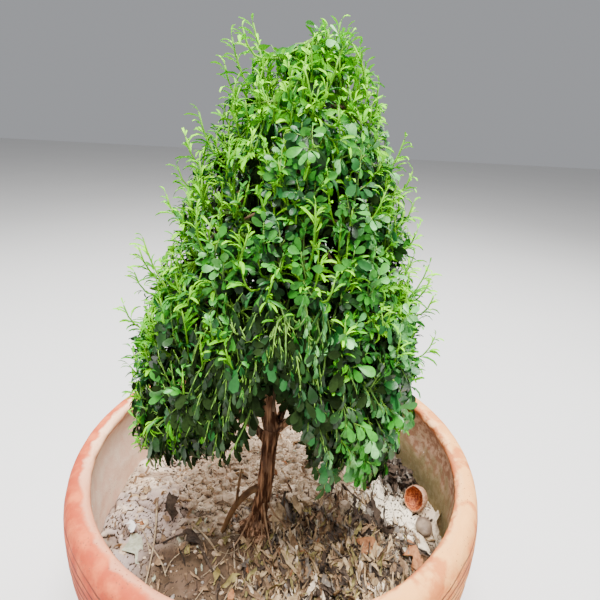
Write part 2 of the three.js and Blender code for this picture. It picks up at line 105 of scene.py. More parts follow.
class Curve:
    """A smooth curve through points, measured along its own length."""

    FINE = 40

    def __init__(self, points: Sequence[Sequence[float]]) -> None:
        """Samples the curve finely.

        Args:
            points: The points that the curve passes through, in order.
        """
        p = np.asarray(points, float)
        p = np.vstack([2 * p[0] - p[1], p, 2 * p[-1] - p[-2]])
        share = np.linspace(0.0, 1.0, self.FINE, endpoint=False)[:, None]
        spans = [self._span(p[i : i + 4], share) for i in range(len(p) - 3)]
        self.samples = np.vstack([*spans, p[-2]])
        self.lengths = lengths_of(self.samples)

    @staticmethod
    def _span(p: Array, t: Array) -> Array:
        """The points between the middle two of four, at shares t.

        Args:
            p: Four points in a row.
            t: The shares, as a column.

        Returns:
            The points, as rows.
        """
        a, b, c = np.sqrt(np.linalg.norm(np.diff(p, axis=0), axis=1))
        start = ((p[1] - p[0]) / a - (p[2] - p[0]) / (a + b) + (p[2] - p[1]) / b) * b
        end = ((p[2] - p[1]) / b - (p[3] - p[1]) / (b + c) + (p[3] - p[2]) / c) * b
        square = -3 * p[1] + 3 * p[2] - 2 * start - end
        cube = 2 * p[1] - 2 * p[2] + start + end
        return p[1] + start * t + square * t**2 + cube * t**3

    def at(self, share: Array) -> Array:
        """The points at shares of the curve's length."""
        return path_at(self.samples, self.lengths, np.atleast_1d(share) * self.lengths[-1])

    def heading(self, share: float) -> Array:
        """The direction of the curve at a share of its length."""
        near = self.at(np.array([max(share - 0.01, 0.0), min(share + 0.01, 1.0)]))
        return unit(near[1] - near[0])

    def at_height(self, z: float) -> Array:
        """The point of the curve that is nearest to a height."""
        points = self.at(np.linspace(0.0, 1.0, 201))
        return points[np.argmin(np.abs(points[:, 2] - z))]

    def frames(self, count: int) -> tuple[Array, Array, Array]:
        """Points along the curve with two directions square to it that never twist.

        Args:
            count: How many points, evenly spaced.

        Returns:
            The points and the two directions, each as rows.
        """
        points = self.at(np.linspace(0.0, 1.0, count))
        tangents = unit(np.gradient(points, axis=0))
        side = np.cross(tangents[0], [0.0, 1.0, 0.0])
        sides = []
        for tangent in tangents:
            side = across_axis(tangent, side)
            sides.append(side)
        return points, np.array(sides), np.cross(tangents, sides)


class Nodes:
    """A material's node tree, with one short method for each kind of node."""

    def __init__(self, name: str, roughness: float, specular: float = 0.5) -> None:
        """Starts a material with its own shader and object coordinates.

        Args:
            name: The material's name.
            roughness: The shader's roughness.
            specular: The shader's specular level.
        """
        self.material = bpy.data.materials.new(name)
        self.material.use_nodes = True
        self.tree = self.material.node_tree
        self.shader = self.tree.nodes["Principled BSDF"]
        self.shader.inputs["Roughness"].default_value = roughness
        self.shader.inputs["Specular IOR Level"].default_value = specular
        self.place = self.add("ShaderNodeTexCoord", {}).outputs["Object"]

    def add(self, kind: str, feeds: dict[object, object], **settings: object) -> bpy.types.Node:
        """Adds a node of a kind, with its settings and with what its sockets are fed.

        Args:
            kind: The node's type.
            feeds: A value for each socket, by the socket's name or number.
            **settings: Its settings by name.

        Returns:
            The node.
        """
        node = self.tree.nodes.new(kind)
        for key, value in settings.items():
            setattr(node, key, value)
        for key, value in feeds.items():
            self.feed(node.inputs[key], value)
        return node

    def feed(self, socket: Socket, value: object) -> None:
        """Links a socket's value, or sets it where the value is a number or a colour.

        Args:
            socket: The socket that is fed.
            value: A socket, a number, a colour or a vector.
        """
        if isinstance(value, Socket):
            self.tree.links.new(value, socket)
        elif socket.type == "RGBA":
            socket.default_value = (*value, 1.0)
        else:
            socket.default_value = value

    def stretched(self, scale: Triple) -> Socket:
        """Object coordinates scaled unevenly."""
        return self.add("ShaderNodeMapping", {"Vector": self.place, "Scale": scale}).outputs["Vector"]

    def noise(self, scale: float, detail: float = 3.0, place: Socket | None = None) -> Socket:
        """Noise with a scale in waves to the metre."""
        feeds = {"Vector": place or self.place, "Scale": scale, "Detail": detail}
        return self.add("ShaderNodeTexNoise", feeds).outputs["Fac"]

    def cells(self, scale: float) -> Socket:
        """The distance to the nearest of scattered points."""
        feeds = {"Vector": self.place, "Scale": scale}
        return self.add("ShaderNodeTexVoronoi", feeds).outputs["Distance"]

    def attribute(self, name: str) -> Socket:
        """The number that a mesh keeps under a name at each of its corners."""
        return self.add("ShaderNodeAttribute", {}, attribute_name=name).outputs["Fac"]

    def maths(self, kind: str, a: object, b: object = 0.0) -> Socket:
        """One step of arithmetic, by the name of its operation."""
        return self.add("ShaderNodeMath", {0: a, 1: b}, operation=kind).outputs[0]

    def plus(self, a: object, b: object) -> Socket:
        """The sum of two values."""
        return self.maths("ADD", a, b)

    def minus(self, a: object, b: object) -> Socket:
        """One value less another."""
        return self.maths("SUBTRACT", a, b)

    def times(self, first: object, *others: object) -> Socket:
        """The product of two values or more."""
        return reduce(lambda a, b: self.maths("MULTIPLY", a, b), others, first)

    def vector_maths(self, kind: str, *vectors: object) -> bpy.types.Node:
        """One step of arithmetic on vectors, by the name of its operation."""
        return self.add("ShaderNodeVectorMath", dict(enumerate(vectors)), operation=kind)

    def rise(self, value: object, low: float, high: float) -> Socket:
        """A smooth rise from 0 at low to 1 at high, or a fall where low is the higher."""
        feeds = {"Value": value, "From Min": low, "From Max": high}
        return self.add("ShaderNodeMapRange", feeds, interpolation_type="SMOOTHSTEP").outputs["Result"]

    def mix(self, share: object, a: object, b: object) -> Socket:
        """Colour a turned to colour b by a share."""
        return self.add("ShaderNodeMix", {0: share, 6: a, 7: b}, data_type="RGBA").outputs[2]

    def blend(self, value: object, low: float, high: float, shades: Shades) -> Socket:
        """A pair of colours blended by a value that rises from low to high."""
        return self.mix(self.rise(value, low, high), *shades)

    def axes(self) -> tuple[Socket, ...]:
        """The object coordinates' three numbers, in metres."""
        return tuple(self.add("ShaderNodeSeparateXYZ", {0: self.place}).outputs)

    def bump(self, height: object, strength: float, distance: float) -> None:
        """Gives the shader a relief from a height, to a depth in metres."""
        feeds = {"Height": height, "Strength": strength, "Distance": distance}
        self.feed(self.shader.inputs["Normal"], self.add("ShaderNodeBump", feeds).outputs["Normal"])

    def colour(self, value: object) -> None:
        """Gives the shader its base colour."""
        self.feed(self.shader.inputs["Base Color"], value)

    def roughness(self, value: object) -> None:
        """Gives the shader its roughness."""
        self.feed(self.shader.inputs["Roughness"], value)


@dataclass(frozen=True)
class LeafFinish:
    """The skin of one tone of leaf: its green, its paler patches and its gloss."""

    name: str
    green: Colour
    pale: Colour
    roughness: float
    coat: float
    specular: float = 0.32
    patches: float = 55.0  # these three in waves to the metre
    blotches: float = 420.0
    grain: float = 900.0

    def material(self) -> Material:
        """The finish as a material.

        Returns:
            The material.
        """
        nodes = Nodes(self.name, self.roughness, self.specular)
        blotches = nodes.rise(nodes.noise(self.blotches, 3.0), 0.4, 0.75)
        skin = nodes.blend(nodes.noise(self.patches, 2.0), 0.35, 0.7, (self.green, self.pale))
        dark = tuple(0.6 * c for c in self.green)
        nodes.colour(nodes.mix(nodes.times(blotches, 0.5), skin, dark))
        nodes.roughness(nodes.plus(nodes.times(blotches, 0.16), self.roughness - 0.05))
        nodes.shader.inputs["Coat Weight"].default_value = self.coat
        nodes.shader.inputs["Coat Roughness"].default_value = 0.32
        nodes.bump(nodes.noise(self.grain, 2.0), 0.25, 0.0006)
        return nodes.material


@dataclass(frozen=True)
class PlainFinish:
    """A dry, matte stuff in two colours, such as litter, straw or stone."""

    name: str
    light: Colour
    dark: Colour
    roughness: float = 0.85
    scale: float = 260.0
    stretch: Triple = (1.0, 1.0, 1.0)
    patches: float = 70.0

    def material(self) -> Material:
        """The finish as a material.

        Returns:
            The material.
        """
        nodes = Nodes(self.name, self.roughness, 0.25)
        place = nodes.stretched(self.stretch)
        grain = nodes.noise(self.scale, 4.0, place)
        both = nodes.plus(nodes.times(grain, 0.6), nodes.times(nodes.noise(self.patches, 2.0), 0.6))
        nodes.colour(nodes.blend(both, 0.42, 0.8, (self.light, self.dark)))
        nodes.roughness(nodes.plus(nodes.times(grain, 0.15), self.roughness - 0.08))
        nodes.bump(grain, 0.5, 0.0008)
        return nodes.material


class Tone(Enum):
    """The tones of green that the leaves are dealt out in, spray by spray; some of them are a painted
    glow, a painted sheen or painted shade.
    """

    # Young lime leaves painted brighter than their own colour: a painted sunlit glow
    SUN = LeafFinish("leaf_sun", (0.18, 0.62, 0.0), (0.34, 0.86, 0.0), 0.55, 0.0, 0.06)
    LIME = LeafFinish("leaf_lime", (0.13, 0.46, 0.0), (0.24, 0.65, 0.001), 0.55, 0.0, 0.1)
    FRESH = LeafFinish("leaf_fresh", (0.055, 0.31, 0.0), (0.13, 0.48, 0.002), 0.5, 0.0, 0.12)
    GRASS = LeafFinish("leaf_grass", (0.026, 0.20, 0.011), (0.065, 0.33, 0.032), 0.42, 0.05)
    DEEP = LeafFinish("leaf_deep", (0.009, 0.080, 0.011), (0.020, 0.135, 0.026), 0.42, 0.05)
    # Green leaves painted pale grey-green: a painted sheen of reflected light
    FROST = LeafFinish("leaf_frost", (0.085, 0.35, 0.080), (0.25, 0.62, 0.19), 0.36, 0.12, 0.34)
    # Dull dark green for leaves low in the crown: painted shade
    DUSK = LeafFinish("leaf_dusk", (0.006, 0.026, 0.004), (0.020, 0.068, 0.012), 0.42, 0.03, 0.3)
    SHADE = LeafFinish("leaf_shade", (0.007, 0.017, 0.003), (0.015, 0.032, 0.006), 0.7, 0.0, 0.06)


# The darker tone that each tone gives way to in a shoot's inner sprays: painted shade inside the crown
SHADED_TONE = {
    Tone.SUN: Tone.FRESH,
    Tone.LIME: Tone.GRASS,
    Tone.FRESH: Tone.DEEP,
    Tone.GRASS: Tone.DUSK,
    Tone.DEEP: Tone.DUSK,
    Tone.FROST: Tone.DEEP,
    Tone.DUSK: Tone.SHADE,
    Tone.SHADE: Tone.SHADE,
}


class Blade(Enum):
    """Outlines of leaves: shares of the length, and the width there as a share of the widest."""

    ROUND = ((0.10, 0.13), (0.30, 0.56), (0.50, 0.88), (0.68, 1.0), (0.84, 0.84), (0.95, 0.48))
    NARROW = ((0.14, 0.30), (0.42, 0.85), (0.70, 1.0), (0.92, 0.60))
    PLAIN = ((0.15, 0.25), (0.50, 0.90), (0.82, 0.90))
    LANCE = ((0.08, 0.28), (0.26, 0.80), (0.48, 1.0), (0.72, 0.70), (0.90, 0.28))


def show(mesh: Mesh, name: str, material: Material, stands_for: Sequence[str] = ()) -> None:
    """Puts a mesh in the scene as one finished piece, riding on the body.

    Args:
        mesh: The mesh, in metres and in place.
        name: The piece's name.
        material: The finish of the whole piece.
        stands_for: The nodes that it replaces.
    """
    mesh.materials.append(material)
    piece = bpy.data.objects.new(name, mesh)
    bpy.context.scene.collection.objects.link(piece)
    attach(piece, BODY)
    if stands_for:
        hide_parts(*stands_for)
    triangles = sum(len(face.vertices) - 2 for face in mesh.polygons)
    LOG.info("%s: %d triangles", name, triangles)


def mesh_of(bm: bmesh.types.BMesh, name: str) -> Mesh:
    """A smooth mesh in metres from a bmesh in millimetres, its faces turned outwards.

    Args:
        bm: The shape, which is freed.
        name: The mesh's name.

    Returns:
        The mesh.
    """
    bmesh.ops.recalc_face_normals(bm, faces=bm.faces)
    bmesh.ops.scale(bm, vec=(MM, MM, MM), verts=bm.verts)
    for face in bm.faces:
        face.smooth = True
    mesh = bpy.data.meshes.new(name)
    bm.to_mesh(mesh)
    bm.free()
    return mesh


def spun(section: Sequence[Pair], steps: int, merge: float) -> bmesh.types.BMesh:
    """A shape turned about the Z axis.

    Args:
        section: Its section, as radius and height.
        steps: How many steps the turn has.
        merge: How near corners are joined.

    Returns:
        The shape.
    """
    bm = bmesh.new()
    verts = [bm.verts.new((radius, 0.0, z)) for radius, z in section]
    edges = [bm.edges.new(pair) for pair in zip(verts, verts[1:])]
    bmesh.ops.spin(
        bm, geom=[*verts, *edges], cent=(0, 0, 0), axis=(0, 0, 1), angle=2 * math.pi, steps=steps,
        use_merge=True,
    )
    bmesh.ops.remove_doubles(bm, verts=bm.verts, dist=merge)
    return bm


def mesh_from_arrays(name: str, corners: Array, faces: Sequence[Array], smooth: bool) -> Mesh:
    """A joined mesh of many small things.

    Args:
        name: The mesh's name.
        corners: Its corners in millimetres, as rows.
        faces: Arrays of faces as rows of corner numbers, each array of one size of face.
        smooth: Whether its faces are shaded smooth.

    Returns:
        The mesh.
    """
    mesh = bpy.data.meshes.new(name)
    mesh.vertices.add(len(corners))
    mesh.vertices.foreach_set("co", (corners * MM).astype(np.float32).ravel())
    sizes = np.concatenate([np.full(len(rows), rows.shape[1]) for rows in faces])
    order = np.concatenate([rows.ravel() for rows in faces]).astype(np.int32)
    mesh.loops.add(len(order))
    mesh.loops.foreach_set("vertex_index", order)
    mesh.polygons.add(len(sizes))
    starts = np.concatenate([[0], np.cumsum(sizes)[:-1]]).astype(np.int32)
    mesh.polygons.foreach_set("loop_start", starts)
    mesh.polygons.foreach_set("use_smooth", np.full(len(sizes), smooth))
    mesh.update(calc_edges=True)
    mesh.validate()
    return mesh


def bent_cylinder(
    path: Curve, radius_at: Callable[[float, float, Vector], float], sides: int, steps: int
) -> bmesh.types.BMesh:
    """A closed cylinder bent along a curve, with a radius given along and round it.

    Args:
        path: The middle line.
        radius_at: The radius at a share of the length, an angle, and a place on the middle line.
        sides: How many sides it has.
        steps: How many rings of faces it has.

    Returns:
        The shape in millimetres.
    """
    bm = bmesh.new()
    bmesh.ops.create_cone(bm, cap_ends=True, segments=sides, radius1=1.0, radius2=1.0, depth=1.0)
    upright = [e for e in bm.edges if abs(e.verts[0].co.z - e.verts[1].co.z) > 0.5]
    bmesh.ops.subdivide_edges(bm, edges=upright, cuts=steps - 1, use_grid_fill=True)
    points, across, around = path.frames(steps + 1)
    for vert in bm.verts:
        ring = round((vert.co.z + 0.5) * steps)
        angle = math.atan2(vert.co.y, vert.co.x)
        radius = radius_at(ring / steps, angle, Vector(points[ring]))
        spoke = across[ring] * math.cos(angle) + around[ring] * math.sin(angle)
        vert.co = Vector(points[ring] + spoke * radius)
    return bm


@dataclass
class Twigs:
    """Thin twigs as joined tubes, all with the same number of rings and sides."""

    sides: int
    paths: list[Array] = field(default_factory=list)
    radii: list[Array] = field(default_factory=list)

    def add(self, paths: Array, first: Array, last: Array) -> None:
        """Adds tubes.

        Args:
            paths: Their middle lines, as tube by ring by three.
            first: The radius at each tube's root.
            last: The radius at each tube's tip.
        """
        share = np.linspace(0.0, 1.0, paths.shape[1])
        start = np.broadcast_to(np.asarray(first, float), len(paths))[:, None]
        end = np.broadcast_to(np.asarray(last, float), len(paths))[:, None]
        self.paths.append(paths)
        self.radii.append(start + (end - start) * share)

    def mesh(self, name: str) -> Mesh:
        """The tubes as one mesh, closed at both ends.

        Args:
            name: The mesh's name.

        Returns:
            The mesh.
        """
        paths = np.concatenate(self.paths)
        radii = np.concatenate(self.radii)
        tangents = unit(np.gradient(paths, axis=1))
        whole = paths[:, -1] - paths[:, 0]
        upright = np.abs(unit(whole)[:, 2:]) > 0.8
        helper = np.where(upright, [1.0, 0.0, 0.0], [0.0, 0.0, 1.0])[:, None, :]
        side = unit(np.cross(tangents, helper))
        other = np.cross(tangents, side)
        angles = np.arange(self.sides) * (2 * math.pi / self.sides)
        ring = (
            side[:, :, None, :] * np.cos(angles)[:, None]
            + other[:, :, None, :] * np.sin(angles)[:, None]
        )
        corners = paths[:, :, None, :] + ring * radii[:, :, None, None]
        tubes, rings = paths.shape[:2]
        numbers = np.arange(tubes * rings * self.sides).reshape(tubes, rings, self.sides)
        after = np.roll(numbers, -1, axis=2)
        walls = np.stack([numbers[:, :-1], after[:, :-1], after[:, 1:], numbers[:, 1:]], axis=-1)
        ends = np.concatenate([numbers[:, 0, ::-1], numbers[:, -1]])
        return mesh_from_arrays(name, corners.reshape(-1, 3), [walls.reshape(-1, 4), ends], True)


@dataclass
class Leaves:
    """Leaf blades as one joined mesh: each is a folded, curling strip with its own outline."""

    outline: Sequence[Pair] = Blade.ROUND.value
    crumple: float = 0.0  # how far each corner strays, as a share of the width
    rows: dict[str, list[Array]] = field(default_factory=dict)

    def add(self, **blades: Array) -> None:
        """Adds blades.

        Args:
            **blades: base, along and normal as rows of three, and length, width, fold, bend and twist.
        """
        count = len(blades["base"])
        for key, value in blades.items():
            wide = np.asarray(value, float)
            if wide.ndim < 2:
                wide = np.broadcast_to(wide, count)
            self.rows.setdefault(key, []).append(wide)

    def count(self) -> int:
        """How many blades there are."""
        return sum(len(rows) for rows in self.rows.get("base", []))

    def mesh(self, name: str) -> Mesh:
        """The blades as one mesh, with two faces to a row and a point at each end.

        Args:
            name: The mesh's name.

        Returns:
            The mesh.
        """
        blade = {key: np.concatenate(rows) for key, rows in self.rows.items()}
        along = unit(blade["along"])
        normal = across_axis(along, blade["normal"])
        side = np.cross(along, normal)
        shares = np.array([0.0, *(row[0] for row in self.outline), 1.0])
        widths = np.array([0.0, *(row[1] for row in self.outline), 0.0])
        bend = np.where(np.abs(blade["bend"]) < 1e-3, 1e-3, blade["bend"])[:, None]
        turn = bend * shares
        length = blade["length"][:, None]
        forward = length * np.sin(turn) / bend
        down = length * (1.0 - np.cos(turn)) / bend
        middle = (
            blade["base"][:, None]
            + along[:, None] * forward[..., None]
            - normal[:, None] * down[..., None]
        )
        lift = normal[:, None] * np.cos(turn)[..., None] + along[:, None] * np.sin(turn)[..., None]
        twist = (blade["twist"][:, None] * shares)[..., None]
        edge = side[:, None] * np.cos(twist) + lift * np.sin(twist)
        lift = lift * np.cos(twist) - side[:, None] * np.sin(twist)
        half = (0.5 * blade["width"][:, None] * widths)[..., None]
        fold = blade["fold"][:, None, None]
        left = middle - edge * half * np.cos(fold) + lift * half * np.sin(fold)
        right = middle + edge * half * np.cos(fold) + lift * half * np.sin(fold)
        inner = slice(1, len(shares) - 1)
        strip = np.stack([left[:, inner], middle[:, inner], right[:, inner]], axis=2)
        if self.crumple:
            stray = np.random.default_rng(len(along)).normal(0.0, self.crumple, strip.shape)
            strip = strip + stray * blade["width"][:, None, None, None]
        ends = np.stack([middle[:, 0], middle[:, -1]], axis=1)
        count = len(along)
        corners = np.concatenate([strip.reshape(count, -1, 3), ends], axis=1)
        return mesh_from_arrays(name, corners.reshape(-1, 3), self._faces(count, corners.shape[1]), True)

    def _faces(self, count: int, corners: int) -> list[Array]:
        """The faces of a number of blades that have a number of corners each.

        Args:
            count: How many blades.
            corners: How many corners each has.

        Returns:
            The faces with four corners, and those with three.
        """
        rows = len(self.outline)
        base = 3 * rows
        quads = []
        for row in range(rows - 1):
            for column in (0, 1):
                first = 3 * row + column
                quads.append((first, first + 1, first + 4, first + 3))
        last = base - 3
        thirds = [(base, 1, 0), (base, 2, 1), (base + 1, last, last + 1), (base + 1, last + 1, last + 2)]
        shift = (np.arange(count) * corners)[:, None, None]
        return [(np.array(faces) + shift).reshape(-1, len(faces[0])) for faces in (quads, thirds)]


@dataclass
class Lumps:
    """Small lumps as one joined mesh: each is a rough ball squeezed, turned and set down."""

    fineness: int = 1

    def mesh(self, name: str, places: Array, sizes: Array, rng: Rng) -> Mesh:
        """The lumps as one mesh.

        Args:
            name: The mesh's name.
            places: Their middles, as rows.
            sizes: Their radii.
            rng: The source of their roughness and turns.

        Returns:
            The mesh.
        """
        bm = bmesh.new()
        bmesh.ops.create_icosphere(bm, subdivisions=self.fineness, radius=1.0)
        ball = np.array([vert.co for vert in bm.verts])
        faces = np.array([[vert.index for vert in face.verts] for face in bm.faces])
        bm.free()
        count = len(places)
        rough = 1.0 + rng.uniform(-0.28, 0.28, (count, len(ball), 1))
        squeeze = rng.uniform(0.6, 1.25, (count, 1, 3)) * [1.0, 1.0, 0.75]
        shape = ball * rough * squeeze
        angle = rng.uniform(0.0, 2 * math.pi, (count, 1))
        x = shape[..., 0] * np.cos(angle) - shape[..., 1] * np.sin(angle)
        y = shape[..., 0] * np.sin(angle) + shape[..., 1] * np.cos(angle)
        turned = np.stack([x, y, shape[..., 2]], axis=-1)
        corners = places[:, None] + turned * sizes[:, None, None]
        shift = (np.arange(count) * len(ball))[:, None, None]
        return mesh_from_arrays(name, corners.reshape(-1, 3), [(faces + shift).reshape(-1, 3)], False)


def cubic(start: Pair, a: Pair, b: Pair, end: Pair, steps: int) -> list[Pair]:
    """Points along a cubic curve after its start.

    Args:
        start: The point that it leaves.
        a: The first handle.
        b: The second handle.
        end: The point that it reaches.
        steps: How many points.

    Returns:
        The points as pairs.
    """
    t = (np.arange(1, steps + 1) / steps)[:, None]
    points = [np.asarray(p, float) for p in (start, a, b, end)]
    made = (
        points[0] * (1 - t) ** 3
        + points[1] * 3 * t * (1 - t) ** 2
        + points[2] * 3 * t**2 * (1 - t)
        + points[3] * t**3
    )
    return [tuple(p) for p in made]


class Terracotta:
    """Fired clay: coral outside and lighter at right with painted light, worn pale along the lip with a
    painted highlight, lime inside at left and stains at right.
    """

    CORAL: Shades = ((0.46, 0.055, 0.018), (0.70, 0.150, 0.050))
    ORANGE_AND_LIGHT: Shades = ((0.72, 0.20, 0.038), (0.90, 0.37, 0.105))
    WORN_AND_HIGHLIGHT: Colour = (1.0, 0.60, 0.36)
    ORANGE_AND_TOP_LIGHT: Colour = (0.96, 0.47, 0.15)
    RUBBED: Colour = (0.56, 0.13, 0.028)
    BACK_STAIN: Colour = (0.60, 0.15, 0.035)
    EDGE_STAIN: Colour = (0.46, 0.12, 0.040)
    GROOVE_DARK: Colour = (0.10, 0.022, 0.013)
    LIME: Shades = ((0.92, 0.60, 0.43), (1.0, 0.78, 0.60))
    SOIL_STAIN: Shades = ((0.34, 0.17, 0.10), (0.66, 0.43, 0.29))
    ALGAE: Colour = (0.19, 0.17, 0.065)
    THROAT_SHADE: Colour = (0.36, 0.13, 0.07)
    PIT: Colour = (0.30, 0.10, 0.055)
    SPECK: Colour = (0.95, 0.88, 0.80)

    def __init__(self) -> None:
        """Starts the material with what its layers share: places, noises and how far right one is."""
        self.nodes = nodes = Nodes("terracotta", 0.82, 0.25)
        self.x, self.y, self.z = nodes.axes()
        flat = nodes.vector_maths("MULTIPLY", nodes.place, (1.0, 1.0, 0.0)).outputs[0]
        self.radius = nodes.vector_maths("LENGTH", flat).outputs["Value"]
        self.broad = nodes.noise(14.0, 4.0)
        self.mottle = nodes.noise(75.0, 5.0)
        self.wave = nodes.times(nodes.minus(self.mottle, 0.5), 0.016)
        self.right = nodes.rise(nodes.plus(self.x, nodes.times(self.broad, 0.08)), -0.02, 0.15)
        self.groove = self.grooves()

    def grooves(self) -> Socket:
        """Bundles of thin grooves round the shoulder, broken off here and there.

        Returns:
            How much of a groove there is.
        """
        nodes = self.nodes
        wander = nodes.times(nodes.noise(9.0, 2.0), 0.020)
        turns = nodes.maths("SINE", nodes.times(nodes.plus(self.z, wander), 800.0))
        return nodes.times(
            nodes.rise(turns, 0.45, 0.9),
            nodes.rise(self.broad, 0.32, 0.46),
            nodes.rise(self.z, 0.243, 0.234),
            nodes.rise(self.z, 0.130, 0.200),
            nodes.rise(self.radius, 0.187, 0.191),
        )

    def lip(self, skin: Socket) -> Socket:
        """Wears the lip pale with a painted highlight and paints light on its top: a band along the lip's
        inner half at left, and nearly all of it at right.

        Args:
            skin: The clay's colour.

        Returns:
            The colour with the wear, the painted highlight and the painted light on it.
        """
        nodes, mottle, right = self.nodes, self.mottle, self.right
        band = nodes.rise(nodes.plus(self.radius, self.wave), 0.1855, 0.1805)
        strength = nodes.plus(nodes.times(nodes.rise(self.y, -0.10, 0.02), 0.58), 0.40)
        band = nodes.times(nodes.times(band, nodes.rise(self.z, 0.240, 0.246)), strength)
        # Pale band on the lip: partly wear, partly a painted highlight
        skin = nodes.mix(band, skin, self.WORN_AND_HIGHLIGHT)
        # The rim's top at right in light orange: partly the clay's colour, partly painted light
        top = nodes.rise(nodes.plus(self.z, nodes.times(mottle, 0.020)), 0.243, 0.259)
        skin = nodes.mix(nodes.times(top, nodes.plus(nodes.times(right, 0.72), 0.04)), skin, self.ORANGE_AND_TOP_LIGHT)
        rubbed = nodes.times(nodes.rise(nodes.noise(34.0, 5.0), 0.54, 0.64), right, 0.75)
        skin = nodes.mix(rubbed, skin, self.RUBBED)
        back = nodes.rise(nodes.plus(self.y, self.wave), 0.00, 0.09)
        back = nodes.times(back, right, nodes.rise(mottle, 0.40, 0.60), 0.7)
        skin = nodes.mix(back, skin, self.BACK_STAIN)
        edge = nodes.rise(nodes.plus(self.radius, nodes.times(self.wave, 0.6)), 0.1810, 0.1785)
        edge = nodes.times(edge, nodes.rise(mottle, 0.34, 0.50), nodes.plus(nodes.times(right, 0.6), 0.2))
        return nodes.mix(edge, skin, self.EDGE_STAIN)

    def outside(self) -> Socket:
        """The outer clay, coral at left and a lighter orange at right, partly the clay's colour and
        partly painted light from the right, darker in its grooves.

        Returns:
            The colour.
        """
        nodes = self.nodes
        coral = nodes.blend(self.mottle, 0.35, 0.7, self.CORAL)
        orange = nodes.blend(self.mottle, 0.3, 0.7, self.ORANGE_AND_LIGHT)
        # Lighter orange at right: partly the clay's colour, partly painted light from the right
        skin = self.lip(nodes.mix(self.right, coral, orange))
        # Darker in the grooves
        return nodes.mix(nodes.times(self.groove, 0.85), skin, self.GROOVE_DARK)

    def inside(self) -> Socket:
        """The inner wall: lime at left, algae and soil stains at right, and painted shade in the throat
        under the lip.

        Returns:
            The colour.
        """
        nodes, mottle = self.nodes, self.mottle
        lime = nodes.blend(mottle, 0.3, 0.75, self.LIME)
        brown = nodes.blend(nodes.noise(150.0, 5.0), 0.4, 0.62, self.SOIL_STAIN)
        algae = nodes.rise(nodes.plus(self.z, nodes.times(mottle, -0.09)), 0.175, 0.130)
        stained = nodes.mix(nodes.times(algae, 0.8), brown, self.ALGAE)
        wall = nodes.mix(nodes.rise(self.x, -0.05, 0.09), lime, stained)
        # Painted shade on the inner wall just under the lip
        throat = nodes.times(nodes.rise(self.z, 0.228, 0.237), nodes.rise(mottle, 0.35, 0.6), 0.7)
        return nodes.mix(throat, wall, self.THROAT_SHADE)

    def material(self) -> Material:
        """The finish as a material.

        Returns:
            The material.
        """
        nodes, broad, mottle = self.nodes, self.broad, self.mottle
        inward = nodes.rise(nodes.attribute("inward"), 0.0, 0.3)
        inward = nodes.times(inward, nodes.rise(self.z, 0.2425, 0.2385))
        skin = nodes.mix(inward, self.outside(), self.inside())
        pits = nodes.times(nodes.rise(nodes.cells(300.0), 0.20, 0.08), nodes.rise(broad, 0.45, 0.58))
        skin = nodes.mix(pits, skin, self.PIT)
        specks = nodes.times(nodes.rise(nodes.cells(62.0), 0.085, 0.06), nodes.rise(broad, 0.56, 0.5))
        nodes.colour(nodes.mix(specks, skin, self.SPECK))
        nodes.roughness(nodes.plus(nodes.times(mottle, 0.2), 0.7))
        relief = nodes.plus(nodes.times(mottle, 0.8), nodes.times(nodes.noise(420.0, 3.0), 0.35))
        relief = nodes.minus(relief, nodes.times(self.groove, 0.9))
        nodes.bump(nodes.minus(relief, nodes.times(pits, 0.3)), 0.7, 0.0016)
        return nodes.material


